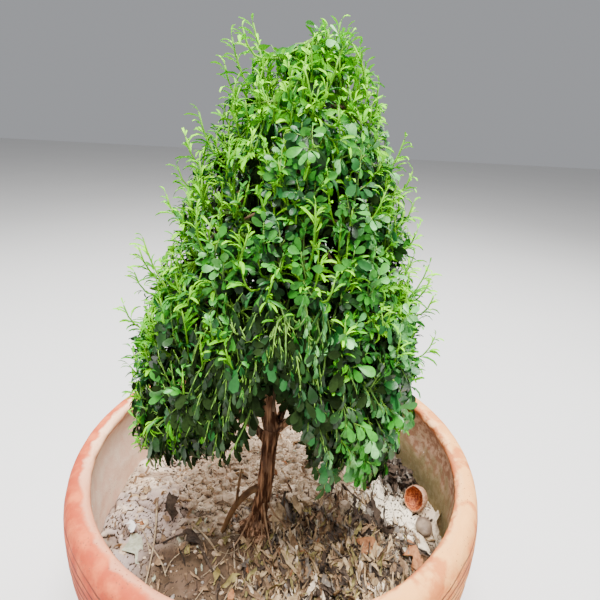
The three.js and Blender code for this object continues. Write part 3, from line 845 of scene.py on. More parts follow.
@dataclass
class Pot:
    """The terracotta bowl: a thrown pot with a rounded rim, turned about the Z axis."""

    height: float = 250.0
    foot_radius: float = 122.0
    belly_radius: float = 201.0
    belly_height: float = 203.0
    crest_radius: float = 186.0
    mouth_radius: float = 176.0
    mouth_height: float = 245.0
    throat_height: float = 223.0
    lip_height: float = 241.0
    wall: float = 17.0
    floor: float = 22.0
    soil_radius: float = 181.0
    steps: int = 300
    wobble: float = 0.7
    groove_depth: float = 0.55
    grain: float = 0.3
    lip_wear: float = 0.9
    chip_depth: float = 3.2

    def profile(self) -> list[Pair]:
        """The wall's section as radius and height, from the middle of the underside to the floor.

        Returns:
            The points of the section.
        """
        belly = (self.belly_radius, self.belly_height)
        crest = (self.crest_radius, self.height)
        mouth = (self.mouth_radius, self.mouth_height)
        throat = (self.belly_radius - self.wall, self.throat_height)
        foot = self.foot_radius
        points = [(0.0, 0.0), (60.0, 0.0), (foot - 4.0, 0.0)]
        points += cubic(points[-1], (foot - 1, 0), (foot, 1), (foot, 4.0), 3)
        points += cubic(points[-1], (161, 58), (self.belly_radius, 118), belly, 46)
        points += cubic(belly, (self.belly_radius, 228), (199, self.height), crest, 20)
        points += cubic(crest, (180, self.height), (self.mouth_radius, 249), mouth, 7)
        points += cubic(mouth, (self.mouth_radius, 240), (183, 236), throat, 9)
        points += [(throat[0], 200.0), (181.6, 186.0), (self.soil_radius, 176.0)]
        points += [(self.soil_radius, 160.0), (self.soil_radius, 146.0)]
        points += cubic(points[-1], (self.soil_radius, 100), (150, 62), (foot, self.floor), 6)
        points.append((0.0, self.floor))
        return points

    def relief(self, place: Vector) -> float:
        """How far the clay stands proud at a place: a slow wobble, thrown grooves, and a worn lip.

        Args:
            place: The place, in millimetres.

        Returns:
            The distance outwards.
        """
        radius = math.hypot(place.x, place.y)
        outside = radius > self.belly_radius - 0.6 * self.wall
        ring = Vector((place.x * 0.004, place.y * 0.004, place.z * 0.01))
        proud = self.wobble * noise.noise(ring)
        if outside and place.z < self.height - 12:
            lines = noise.noise(Vector((place.x * 0.003, place.y * 0.003, place.z * 0.42)))
            proud += self.groove_depth * lines
        proud += self.grain * noise.noise(place * 0.09)
        lip = max(0.0, 1.0 - abs(place.z - self.lip_height) / 8.0) * (radius < self.mouth_radius + 8.0)
        chips = max(0.0, noise.noise(place * 0.075 + Vector((9.0, 3.0, 5.0))) - 0.12)
        ragged = max(0.0, noise.noise(place * 0.17 + Vector((1.0, 7.0, 2.0))) - 0.05)
        ragged *= min(max(place.x / 90.0, 0.15), 1.0)
        worn = self.lip_wear * noise.noise(place * 0.16) + self.chip_depth * (chips + ragged)
        return proud + lip * worn

    def build(self) -> None:
        """Spins the section into the bowl, wears it, and dresses it."""
        bm = spun(self.profile(), self.steps, 1e-4)
        bmesh.ops.recalc_face_normals(bm, faces=bm.faces)
        inward = []
        for vert in bm.verts:
            spoke = Vector((vert.co.x, vert.co.y, 0.0)).normalized()
            inward.append(-vert.normal.dot(spoke))
        for vert in bm.verts:
            spoke = Vector((vert.co.x, vert.co.y, 0.0))
            if vert.co.z > 5.0 and spoke.length > 1.0:
                vert.co += spoke.normalized() * self.relief(vert.co)
        mesh = mesh_of(bm, "terracotta_bowl")
        mesh.attributes.new("inward", "FLOAT", "POINT").data.foreach_set("value", inward)
        show(mesh, "terracotta_bowl", Terracotta().material(), ["pot"])


@dataclass(frozen=True)
class Stain:
    """A soft patch of colour with a ragged edge: its middle and half its size in metres."""

    middle: Pair
    size: Pair
    ragged: float
    share: float
    colour: Colour


class LoamSkin:
    """Dry loam: a pale crust, greyer at left and bleached at right, with painted shade in the litter's
    bed, its cracks and low parts, a painted shadow by the trunk's foot, and a front that is partly brown
    soil and partly painted shade.
    """

    CRUST: Shades = ((0.57, 0.41, 0.265), (0.98, 0.79, 0.58))
    GREY: Colour = (0.50, 0.40, 0.35)
    BROWN_AND_SHADE: Shades = ((0.028, 0.014, 0.006), (0.086, 0.045, 0.021))
    VIOLET = Stain((-0.130, -0.030), (0.040, 0.060), 1.2, 0.7, (0.45, 0.35, 0.315))
    BLEACHED = Stain((0.122, 0.005), (0.036, 0.075), 1.2, 1.0, (1.0, 0.87, 0.67))
    # Painted shadow of the crown on the soil by the trunk's foot
    TRUNK_FOOT_SHADOW = Stain((-0.004, -0.052), (0.030, 0.026), 1.5, 0.55, (0.15, 0.085, 0.055))
    # Painted shade in the soil under and between the litter
    LITTER_BED_SHADE = Stain((0.068, -0.072), (0.066, 0.062), 1.0, 0.9, (0.040, 0.027, 0.018))
    LOW_SHADE: Colour = (0.17, 0.105, 0.070)
    CRACK_SHADE: Colour = (0.04, 0.026, 0.018)
    GRAIN: Colour = (0.14, 0.09, 0.055)

    def __init__(self) -> None:
        """Starts the material with what its layers share."""
        self.nodes = Nodes("loam", 0.95, 0.1)
        self.x, self.y, _ = self.nodes.axes()
        self.clods = self.nodes.noise(70.0, 6.0)

    def stained(self, skin: Socket, stain: Stain) -> Socket:
        """A skin with one patch of colour laid over it.

        Args:
            skin: The colour below.
            stain: The patch.

        Returns:
            The colour with the patch.
        """
        nodes = self.nodes
        across = nodes.times(nodes.minus(self.x, stain.middle[0]), 1.0 / stain.size[0])
        along = nodes.times(nodes.minus(self.y, stain.middle[1]), 1.0 / stain.size[1])
        far = nodes.maths("SQRT", nodes.plus(nodes.times(across, across), nodes.times(along, along)))
        far = nodes.plus(far, nodes.times(nodes.minus(self.clods, 0.5), stain.ragged))
        return nodes.mix(nodes.times(nodes.rise(far, 1.2, 0.75), stain.share), skin, stain.colour)

    def material(self) -> Material:
        """The finish as a material.

        Returns:
            The material.
        """
        nodes, clods = self.nodes, self.clods
        broad = nodes.noise(16.0, 3.0)
        grains = nodes.noise(600.0, 4.0)
        grey = nodes.rise(nodes.plus(self.x, nodes.times(broad, 0.10)), -0.02, -0.09)
        grey = nodes.times(grey, nodes.rise(broad, 0.40, 0.56))
        skin = nodes.mix(grey, nodes.blend(clods, 0.36, 0.6, self.CRUST), self.GREY)
        skin = self.stained(skin, self.VIOLET)
        # Dark brown over the front: partly the soil's colour, partly painted shade
        front = nodes.rise(nodes.plus(self.y, nodes.times(broad, 0.08)), 0.035, -0.010)
        front = nodes.times(front, nodes.rise(self.x, -0.150, -0.105), 0.95)
        skin = nodes.mix(front, skin, nodes.blend(clods, 0.35, 0.65, self.BROWN_AND_SHADE))
        # The trunk's foot stain is a painted shadow and the litter's bed is painted shade
        for stain in (self.BLEACHED, self.TRUNK_FOOT_SHADOW, self.LITTER_BED_SHADE):
            skin = self.stained(skin, stain)
        # Painted shade in the low parts of the relief
        low = nodes.times(nodes.rise(nodes.attribute("crest"), -0.4, -3.0), 0.75)
        skin = nodes.mix(low, skin, self.LOW_SHADE)
        # Painted shade in the cracks, where a corner lies below its neighbours
        skin = nodes.mix(nodes.rise(nodes.attribute("hollow"), 0.08, 0.5), skin, self.CRACK_SHADE)
        nodes.colour(nodes.mix(nodes.times(nodes.rise(grains, 0.64, 0.74), 0.6), skin, self.GRAIN))
        nodes.bump(nodes.plus(clods, nodes.times(grains, 0.22)), 0.8, 0.0022)
        return nodes.material


@dataclass(frozen=True)
class ShellSkin:
    """Rust red in the hollow of a nut shell, and tan on its back and rim."""

    middle: Vector
    rust: Shades = ((0.22, 0.040, 0.014), (0.58, 0.17, 0.045))
    tan: Shades = ((0.30, 0.13, 0.07), (0.56, 0.34, 0.21))

    def material(self) -> Material:
        """The finish as a material.

        Returns:
            The material.
        """
        nodes = Nodes("nut_shell", 0.6, 0.35)
        grain = nodes.noise(500.0, 4.0)
        rust = nodes.blend(grain, 0.4, 0.62, self.rust)
        tan = nodes.blend(grain, 0.3, 0.7, self.tan)
        spoke = nodes.vector_maths("SUBTRACT", nodes.place, self.middle * MM).outputs[0]
        normal = nodes.add("ShaderNodeNewGeometry", {}).outputs["Normal"]
        inward = nodes.vector_maths("DOT_PRODUCT", normal, spoke).outputs["Value"]
        nodes.colour(nodes.mix(nodes.rise(inward, 0.0005, -0.002), tan, rust))
        nodes.bump(grain, 0.4, 0.0008)
        return nodes.material


@dataclass
class Litter:
    """One kind of dry leaf on the soil: how many, how large, and where most of them lie."""

    name: str
    finish: PlainFinish
    count: int
    shortest: float
    longest: float
    lie: Pair
    spread: float
    narrow: float = 0.2
    stray: float = 0.35
    pile: float = 3.6


@dataclass(frozen=True)
class Grit:
    """One kind of loose bit in the soil: how many, how fine its mesh, how large, and where they lie."""

    name: str
    finish: PlainFinish
    count: int
    fineness: int
    smallest: float
    largest: float
    lie: Pair
    spread: float


@dataclass(frozen=True)
class Stalk:
    """A straw or stick that lies on the soil, from one place to another."""

    start: Pair
    end: Pair
    radius: float


LONG_STRAWS = (
    Stalk((-131.0, 4.0), (-112.0, -94.0), 1.2),
    Stalk((-123.0, -50.0), (-96.0, -84.0), 0.8),
    Stalk((-146.0, -22.0), (-119.0, -60.0), 0.8),
    Stalk((-84.0, -30.0), (-52.0, -62.0), 1.5),
)
STICKS = (
    Stalk((-90.0, -38.0), (-44.0, -86.0), 1.9),
    Stalk((-108.0, -52.0), (-66.0, -34.0), 1.2),
    Stalk((92.0, -66.0), (140.0, -58.0), 1.6),
    Stalk((10.0, -60.0), (26.0, -112.0), 1.3),
)


def wander(x: float, y: float, scale: float, layer: float) -> float:
    """Smooth noise over the ground, at a scale in waves to the millimetre, on one of many layers."""
    return noise.noise(Vector((x * scale, y * scale, layer)))


@dataclass
class Soil:
    """The loam in the bowl: a rough disc with crumbs, pebbles, dry leaves and straws on it."""

    level: float = 164.0
    radius: float = 180.7
    edge_drop: float = 9.0
    clear_radius: float = 29.0
    level_radius: float = 42.0
    swell_height: float = 3.5
    swell_spacing: float = 37.0
    swell_bend: float = 1.3
    heap: Triple = (80.0, -80.0, 6.0)
    heap_spread: float = 55.0
    foot: float = 140.0
    trunk_x: float = -17.0
    trunk_y: float = -33.0
    shell_at: Pair = (156.0, 14.0)
    shell_size: Triple = (13.0, 14.5, 13.0)
    shell_wall: float = 1.3
    shell_facing: Triple = (-0.75, -0.55, 0.35)
    nut_at: Pair = (161.0, -14.0)
    nut_size: Triple = (8.5, 11.5, 7.5)
    bare: tuple[tuple[Pair, float], ...] = (
        ((-17.0, -33.0), 15.0), ((156.0, 14.0), 17.0), ((161.0, -14.0), 13.0), ((134.0, 12.0), 26.0),
    )
    rings: int = 160
    segments: int = 540
    clod_height: float = 3.8
    crack_depth: float = 3.0
    crack_width: float = 0.17
    small_height: float = 1.5
    small_crack: float = 1.1
    pit_depth: float = 9.0
    roughness: float = 1.5
    sunk: float = 0.8
    smooth_spots: tuple[tuple[float, float, float, float], ...] = (
        (-30.0, -92.0, 40.0, 30.0), (22.0, 48.0, 26.0, 24.0),
    )
    straws: int = 420
    straw_rings: int = 7
    stick_rings: int = 9
    farthest: float = 176.0

    def height(self, x: Array, y: Array) -> Array:
        """The smooth height of the soil, with the swells and the heap of its solid.

        Args:
            x: The place from side to side.
            y: The place from front to back.

        Returns:
            The height.
        """
        away = np.hypot(x - self.trunk_x, y - self.trunk_y)
        rise = smoothstep(away, self.clear_radius, 120.0)
        uneven = smoothstep(away, self.level_radius, 1.8 * self.level_radius)
        waves = 2.2 * np.sin(x * 0.045 + 0.6) * np.cos(y * 0.038 - 0.4)
        turn = math.pi / self.swell_spacing
        across = turn * x + self.swell_bend * np.sin(0.6 * turn * y)
        along = turn * y + self.swell_bend * np.sin(0.7 * turn * x + 1.0)
        swell = self.swell_height * np.sin(across) * np.sin(along)
        off = np.hypot(x - self.heap[0], y - self.heap[1]) / self.heap_spread
        heap = self.heap[2] * np.exp(-0.5 * off**2)
        return self.level + rise * (waves - self.edge_drop * away / 160.0) + uneven * (swell + heap)

    def relief(self, x: float, y: float) -> float:
        """The rough loam over the smooth height: clods of two sizes with cracks, pits and grains.

        Args:
            x: The place from side to side.
            y: The place from front to back.

        Returns:
            The height above the smooth one.
        """
        near = wander(x, y, 0.05, 2.0)
        far = wander(x, y, 0.05, 9.0)
        fine = wander(x, y, 0.21, 5.0)
        spot = Vector((x * 0.055 + 1.0 * near + 0.22 * fine, y * 0.068 + 1.0 * far - 0.22 * fine, 0.0))
        distances, middles = noise.voronoi(spot)
        crack = 1.0 - min((distances[1] - distances[0]) / self.crack_width, 1.0)
        crack *= min(max(0.45 + 1.6 * wander(x, y, 0.035, 17.0), 0.0), 1.0)
        big = self.clod_height * noise.noise(middles[0] * 5.3) - self.crack_depth * crack
        distances, middles = noise.voronoi(Vector((x * 0.17 + 0.5 * fine, y * 0.21 + 0.5 * near, 7.0)))
        small = self.small_height * noise.noise(middles[0] * 7.1)
        small += self.small_crack * min((distances[1] - distances[0]) / 0.35, 1.0)
        small *= min(max(0.55 + 2.0 * wander(x, y, 0.028, 23.0), 0.15), 1.3)
        smooth = max(
            math.exp(-0.5 * (((x - spot_x) / wide) ** 2 + ((y - spot_y) / deep) ** 2))
            for spot_x, spot_y, wide, deep in self.smooth_spots
        )
        pit = max(0.0, noise.noise(Vector((x * 0.10, y * 0.12, 13.0))) - 0.42)
        rough = noise.fractal(Vector((x * 0.06, y * 0.07, 3.0)), 0.8, 2.1, 6)
        clods = (1.0 - 0.75 * smooth) * (big + small)
        pits = self.pit_depth * pit * (1.0 - 0.5 * smooth)
        return clods - pits + self.roughness * rough - self.sunk

    def surface(self, places: Array) -> Array:
        """The height of the rough surface at places given as rows of x and y."""
        rough = np.array([self.relief(x, y) for x, y in places])
        return self.height(places[:, 0], places[:, 1]) + rough

    def scattered(self, rng: Rng, count: int, lie: Pair, spread: float) -> Array:
        """Random places on the soil, gathered round a middle.

        Args:
            rng: The source of chance.
            count: How many.
            lie: The middle that they gather round.
            spread: How far they stray from it, where a large number means evenly everywhere.

        Returns:
            The places as rows of x and y.
        """
        found = np.empty((0, 2))
        while len(found) < count:
            tries = rng.uniform(-self.farthest, self.farthest, (4 * count, 2))
            near = np.exp(-np.sum((tries - lie) ** 2, axis=1) / (2 * spread**2))
            keep = (np.hypot(*tries.T) < self.farthest - 1.0) & (rng.random(len(tries)) < near)
            for spot, clear in self.bare:
                keep &= np.hypot(*(tries - spot).T) > clear
            found = np.vstack([found, tries[keep]])
        return found[:count]

    def build(self) -> None:
        """Makes the loam and everything that lies on it."""
        self.loam()
        rng = np.random.default_rng(41)
        self.lumps(rng)
        for kind in LITTER:
            self.dry_leaves(kind, rng)
        self.straw(rng)
        self.landmarks()
        self.shell()

    def loam(self) -> None:
        """Spins a fine disc, closed below, and roughens its top."""
        radii = np.linspace(0.0, self.radius, self.rings)
        outline = [(r, self.level) for r in radii] + [(self.radius, self.foot), (0.0, self.foot)]
        bm = spun(outline, self.segments, 1e-3)
        crests = []
        for vert in bm.verts:
            crests.append(0.0)
            if vert.co.z > self.foot + 1.0:
                x, y = vert.co.x, vert.co.y
                crests[-1] = self.relief(x, y)
                vert.co.z = float(self.height(x, y)) + crests[-1]
        # How far each corner lies below its neighbours, for the painted shade in the cracks
        hollows = []
        for vert in bm.verts:
            beside = [edge.other_vert(vert).co.z for edge in vert.link_edges]
            hollows.append(sum(beside) / len(beside) - vert.co.z)
        mesh = mesh_of(bm, "loam")
        mesh.attributes.new("hollow", "FLOAT", "POINT").data.foreach_set("value", hollows)
        mesh.attributes.new("crest", "FLOAT", "POINT").data.foreach_set("value", crests)
        show(mesh, "loam", LoamSkin().material(), ["soil"])

    def lumps(self, rng: Rng) -> None:
        """Crumbs of loam and a few small stones.

        Args:
            rng: The source of chance.
        """
        for kind in GRIT:
            flat = self.scattered(rng, kind.count, kind.lie, kind.spread)
            sizes = kind.smallest + (kind.largest - kind.smallest) * rng.random(kind.count) ** 2
            places = np.column_stack([flat, self.surface(flat) + 0.3 * sizes])
            mesh = Lumps(kind.fineness).mesh(kind.name, places, sizes, rng)
            show(mesh, kind.name, kind.finish.material())

    def dry_leaves(self, kind: Litter, rng: Rng) -> None:
        """Scatters one kind of dry leaf, most of them lying front to back.

        Args:
            kind: The kind of leaf.
            rng: The source of chance.
        """
        flat = self.scattered(rng, kind.count, kind.lie, kind.spread)
        length = rng.uniform(kind.shortest, kind.longest, kind.count)
        lift = rng.uniform(0.3, kind.pile, kind.count)
        base = np.column_stack([flat, self.surface(flat) + lift])
        bearing = rng.normal(1.65, kind.stray, kind.count) + math.pi * (rng.random(kind.count) < 0.5)
        steep = rng.normal(0.05, 0.22, kind.count)
        along = np.column_stack([np.cos(bearing), np.sin(bearing), steep])
        normal = np.array([0.0, 0.0, 1.0]) + rng.normal(0.0, 0.42, (kind.count, 3))
        out = np.hypot(*(base + along * length[:, None]).T[:2])
        along[out > self.farthest] *= [-1.0, -1.0, 1.0]
        leaves = Leaves(Blade.LANCE.value, 0.13)
        leaves.add(
            base=base,
            along=along,
            normal=normal,
            length=length,
            width=length * kind.narrow * rng.lognormal(0.0, 0.45, kind.count),
            fold=rng.uniform(-0.4, 1.1, kind.count),
            bend=rng.normal(0.15, 0.8, kind.count),
            twist=rng.normal(0.0, 0.9, kind.count),
        )
        show(leaves.mesh(kind.name), kind.name, kind.finish.material())

    def straw(self, rng: Rng) -> None:
        """Scatters thin bent straws and dead roots, and lays the long straws and the sticks.

        Args:
            rng: The source of chance.
        """
        flat = self.scattered(rng, self.straws, (72.0, -62.0), 56.0)
        bearing = rng.normal(1.65, 0.6, self.straws)
        length = rng.uniform(12.0, 45.0, self.straws)
        share = np.linspace(-0.5, 0.5, self.straw_rings)
        heading = np.column_stack([np.cos(bearing), np.sin(bearing)])
        bow = rng.normal(0.0, 0.16, self.straws)[:, None] * (0.25 - share**2)
        side = np.column_stack([-heading[:, 1], heading[:, 0]])
        plane = (
            flat[:, None]
            + heading[:, None] * (share * length[:, None])[..., None]
            + side[:, None] * (bow * length[:, None] * 4)[..., None]
        )
        reach = np.hypot(plane[..., 0], plane[..., 1])
        plane *= np.minimum(1.0, (self.farthest - 1.0) / reach)[..., None]
        ground = self.surface(plane.reshape(-1, 2)).reshape(plane.shape[:2])
        rise = ground.max(axis=1, keepdims=True) * 0.55 + ground * 0.45 + 0.8
        paths = np.concatenate([plane, rise[..., None]], axis=2)
        twigs = Twigs(4)
        twigs.add(paths, rng.uniform(0.25, 0.65, self.straws), rng.uniform(0.15, 0.35, self.straws))
        for stalk in LONG_STRAWS:
            line = np.linspace(stalk.start, stalk.end, self.straw_rings)
            line[:, 0] += 3.0 * np.sin(np.linspace(0.0, math.pi, self.straw_rings))
            rise = self.surface(line).max() * np.ones(self.straw_rings) + 0.4
            twigs.add(np.column_stack([line, rise])[None], stalk.radius, 0.6 * stalk.radius)
        show(twigs.mesh("straws"), "straws", STRAW.material())
        sticks = Twigs(6)
        for stalk in STICKS:
            line = np.linspace(stalk.start, stalk.end, self.stick_rings)
            line[:, 1] += 4.0 * np.sin(np.linspace(0.0, 1.6 * math.pi, self.stick_rings))
            rise = 0.5 * self.surface(line) + 0.5 * self.surface(line).max() + 1.0
            sticks.add(np.column_stack([line, rise])[None], stalk.radius, 0.5 * stalk.radius)
        show(sticks.mesh("sticks"), "sticks", DRY_DARK.material())

    def landmarks(self) -> None:
        """The single leaves that stand out: each with its finish, place, bearing and size."""
        for spot in LANDMARKS:
            bearing = math.radians(spot.bearing)
            steep = math.radians(spot.steep)
            flat = np.array([[spot.x, spot.y]])
            z = float(self.surface(flat)[0]) + spot.lift
            blade = Blade.LANCE if spot.width < 0.57 * spot.length else Blade.ROUND
            leaves = Leaves(blade.value, 0.10)
            leaves.add(
                base=np.array([[spot.x, spot.y, z]]),
                along=np.array([[math.cos(bearing) * math.cos(steep),
                                 math.sin(bearing) * math.cos(steep), math.sin(steep)]]),
                normal=np.array([spot.facing]),
                length=spot.length,
                width=spot.width,
                fold=spot.fold,
                bend=spot.bend,
                twist=0.2,
            )
            show(leaves.mesh(spot.name), spot.name, spot.finish.material())

    def shell(self) -> None:
        """Half a nut shell with a rusty inside, and a round nut beside it, by the right wall."""
        middle = Vector((*self.shell_at, 0.0))
        middle.z = float(self.height(middle.x, middle.y)) + 15.0
        facing = Vector(self.shell_facing).normalized()
        bm = bmesh.new()
        bmesh.ops.create_uvsphere(bm, u_segments=40, v_segments=24, radius=1.0)
        bmesh.ops.bisect_plane(
            bm, geom=[*bm.verts, *bm.edges, *bm.faces], plane_co=(0, 0, 0.25),
            plane_no=(0, 0, 1), clear_outer=True,
        )
        bmesh.ops.scale(bm, vec=self.shell_size, verts=bm.verts)
        for vert in bm.verts:
            vert.co *= 1.0 + 0.06 * noise.noise(vert.co * 0.25)
        bmesh.ops.recalc_face_normals(bm, faces=bm.faces)
        bmesh.ops.solidify(bm, geom=bm.faces[:], thickness=self.shell_wall)
        turn = facing.to_track_quat("Z", "Y").to_matrix().to_4x4()
        bmesh.ops.transform(bm, matrix=Matrix.Translation(middle) @ turn, verts=bm.verts)
        show(mesh_of(bm, "nut_shell"), "nut_shell", ShellSkin(middle).material())
        bm = bmesh.new()
        bmesh.ops.create_icosphere(bm, subdivisions=4, radius=1.0)
        bmesh.ops.scale(bm, vec=self.nut_size, verts=bm.verts)
        for vert in bm.verts:
            vert.co *= 1.0 + 0.05 * noise.noise(vert.co * 0.3)
        place = (*self.nut_at, float(self.height(*self.nut_at)) + 6.0)
        bmesh.ops.translate(bm, vec=place, verts=bm.verts)
        show(mesh_of(bm, "round_nut"), "round_nut", NUT.material())


CRUMB = PlainFinish("crumb", (0.74, 0.58, 0.42), (0.40, 0.28, 0.18), 0.95, 300.0)
CRUMB_DARK = PlainFinish("crumb_dark", (0.26, 0.18, 0.12), (0.09, 0.06, 0.04), 0.95, 300.0)
STONE = PlainFinish("stone", (0.42, 0.36, 0.31), (0.24, 0.20, 0.17), 0.8, 200.0)
CHALK = PlainFinish("chalk", (0.88, 0.86, 0.82), (0.66, 0.62, 0.56), 0.8, 200.0)
STRAW = PlainFinish("straw", (0.55, 0.43, 0.27), (0.23, 0.15, 0.085), 0.7, 180.0)
NUT = PlainFinish("nut", (0.36, 0.27, 0.19), (0.15, 0.10, 0.07), 0.6, 120.0)
DRY_TAN = PlainFinish("dry_tan", (0.60, 0.43, 0.24), (0.27, 0.17, 0.085), 0.75, 340.0)
DRY_BROWN = PlainFinish("dry_brown", (0.33, 0.205, 0.11), (0.12, 0.068, 0.036), 0.75, 340.0)
DRY_DARK = PlainFinish("dry_dark", (0.11, 0.072, 0.048), (0.022, 0.015, 0.011), 0.8, 340.0)
DRY_GREY = PlainFinish("dry_grey", (0.27, 0.225, 0.18), (0.09, 0.068, 0.052), 0.8, 300.0)
DRY_OLIVE = PlainFinish("dry_olive", (0.40, 0.32, 0.11), (0.13, 0.105, 0.038), 0.75, 300.0)
DRY_RUST = PlainFinish("dry_rust", (0.46, 0.20, 0.080), (0.21, 0.075, 0.030), 0.75, 340.0)
DRY_PALE = PlainFinish("dry_pale", (0.84, 0.69, 0.50), (0.46, 0.34, 0.22), 0.75, 340.0)
DRY_SAGE = PlainFinish("dry_sage", (0.50, 0.51, 0.38), (0.30, 0.30, 0.20), 0.75, 340.0)

TWIG_BROWN = PlainFinish("twig_brown", (0.20, 0.12, 0.06), (0.09, 0.055, 0.03), 0.75, 200.0)
TWIG_GREEN = PlainFinish("twig_green", (0.13, 0.27, 0.03), (0.06, 0.14, 0.02), 0.55, 160.0)
TWIG_LIME = PlainFinish("twig_lime", (0.15, 0.40, 0.003), (0.07, 0.26, 0.003), 0.55, 160.0)
STALK_GREEN = PlainFinish("stalk_green", (0.24, 0.50, 0.04), (0.10, 0.28, 0.03), 0.55, 160.0)

GRIT = (
    Grit("crumbs", CRUMB, 1500, 1, 0.7, 3.0, (-30.0, 90.0), 72.0),
    Grit("crumbs_dark", CRUMB_DARK, 750, 1, 0.6, 2.4, (-10.0, -80.0), 80.0),
    Grit("clods", CRUMB, 300, 2, 2.0, 6.5, (-40.0, 96.0), 62.0),
    Grit("stones", STONE, 120, 2, 1.2, 3.4, (60.0, -30.0), 120.0),
    Grit("white_grains", CHALK, 14, 2, 0.8, 1.6, (-60.0, 60.0), 70.0),
)

LITTER = (
    Litter("litter_tan", DRY_TAN, 700, 7.0, 25.0, (62.0, -88.0), 44.0, 0.18, 0.5),
    Litter("litter_brown", DRY_BROWN, 760, 7.0, 25.0, (60.0, -78.0), 48.0, 0.18, 0.5),
    Litter("litter_dark", DRY_DARK, 620, 8.0, 26.0, (72.0, -74.0), 48.0, 0.20, 0.5),
    Litter("litter_grey", DRY_GREY, 150, 10.0, 28.0, (76.0, -60.0), 46.0, 0.26, 0.4),
    Litter("litter_olive", DRY_OLIVE, 280, 8.0, 24.0, (52.0, -84.0), 50.0, 0.18, 0.5),
    Litter("litter_dark_back", DRY_DARK, 130, 14.0, 34.0, (158.0, 78.0), 19.0, 0.26, 0.3, 13.0),
    Litter("litter_grey_back", DRY_GREY, 64, 14.0, 34.0, (156.0, 68.0), 18.0, 0.22, 0.3, 13.0),
    Litter("litter_dark_side", DRY_DARK, 40, 12.0, 30.0, (112.0, -14.0), 11.0, 0.24, 0.2),
    Litter("litter_grey_side", DRY_GREY, 22, 12.0, 30.0, (112.0, -12.0), 11.0, 0.24, 0.2),
    Litter("litter_pale", DRY_PALE, 130, 8.0, 30.0, (62.0, -94.0), 46.0, 0.18, 0.4),
    Litter("litter_rust", DRY_RUST, 46, 5.0, 15.0, (60.0, -60.0), 60.0, 0.4, 0.6),
    Litter("litter_sage", DRY_SAGE, 30, 6.0, 15.0, (-30.0, -70.0), 90.0, 0.4, 0.6),
    Litter("litter_thin", DRY_BROWN, 260, 4.0, 14.0, (-50.0, 30.0), 110.0, 0.3, 1.0),
    Litter("litter_chips", DRY_TAN, 110, 5.0, 13.0, (30.0, -50.0), 110.0, 0.5, 1.2),
)


@dataclass(frozen=True)
class Landmark:
    """A single dry leaf: its root, bearing and steepness in degrees, the way it faces, and its size."""

    name: str
    finish: PlainFinish
    x: float
    y: float
    bearing: float
    steep: float
    facing: Triple
    length: float
    width: float
    fold: float = 0.2
    bend: float = 0.3
    lift: float = 1.5


LANDMARKS = (
    Landmark("oval_leaf", DRY_TAN, 3, -2, -75, -12, (0.1, -0.6, 0.8), 34, 20, 0.12, 0.2, 9),
    Landmark("dark_leaf", DRY_DARK, -106, -24, 104, 48, (0.6, -0.7, 0.4), 31, 15, 0.5, 0.4, 3),
    Landmark("curled_leaf", DRY_DARK, -90, -38, -40, 10, (0.3, -0.4, 0.8), 30, 14, 0.9, 0.9, 4),
    Landmark("wall_leaf", DRY_PALE, 170, -38, 78, 14, (-0.9, -0.2, 0.4), 60, 15, 0.5, 0.3, 2),
    Landmark("white_leaf", DRY_PALE, 152, -20, -70, -4, (-0.3, -0.5, 0.8), 29, 9, 0.5, 0.4, 4),
    Landmark("rolled_leaf", DRY_RUST, 141, -32, -88, -3, (0.1, -0.2, 1), 36, 21, 0.7, 0.2, 5),
    Landmark("rust_leaf", DRY_RUST, 84, -42, -24, 5, (0, -0.5, 0.9), 25, 19, 0.4, 0.5, 6),
    Landmark("grey_leaf", DRY_DARK, 107, 12, -78, 2, (-0.4, -0.4, 0.8), 50, 20, 0.8, 0.5, 4),
    Landmark("sage_leaf", DRY_SAGE, -143, -38, -62, 8, (0.3, -0.5, 0.8), 36, 17, 0.3, 0.5, 6),
    Landmark("chalky_leaf", CHALK, -150, -26, -60, 24, (0.5, -0.6, 0.7), 18, 11, 0.6, 0.7, 6),
    Landmark("orange_leaf", DRY_RUST, -139, -22, -80, 40, (0, -0.7, 0.7), 14, 8, 0.9, 0.8, 3),
    Landmark("pale_leaf", DRY_PALE, 49, -52, -70, 0, (0.2, -0.3, 0.9), 20, 8, 0.3, 0.4, 3),
    Landmark("tip_leaf", DRY_PALE, 92, -80, -70, 10, (0.3, -0.5, 0.8), 22, 9, 0.6, 0.7, 3),
    Landmark("back_leaf", DRY_PALE, 4, 148, 60, 55, (-0.2, -1, 0.3), 34, 22, 0.3, 0.3, 2),
)


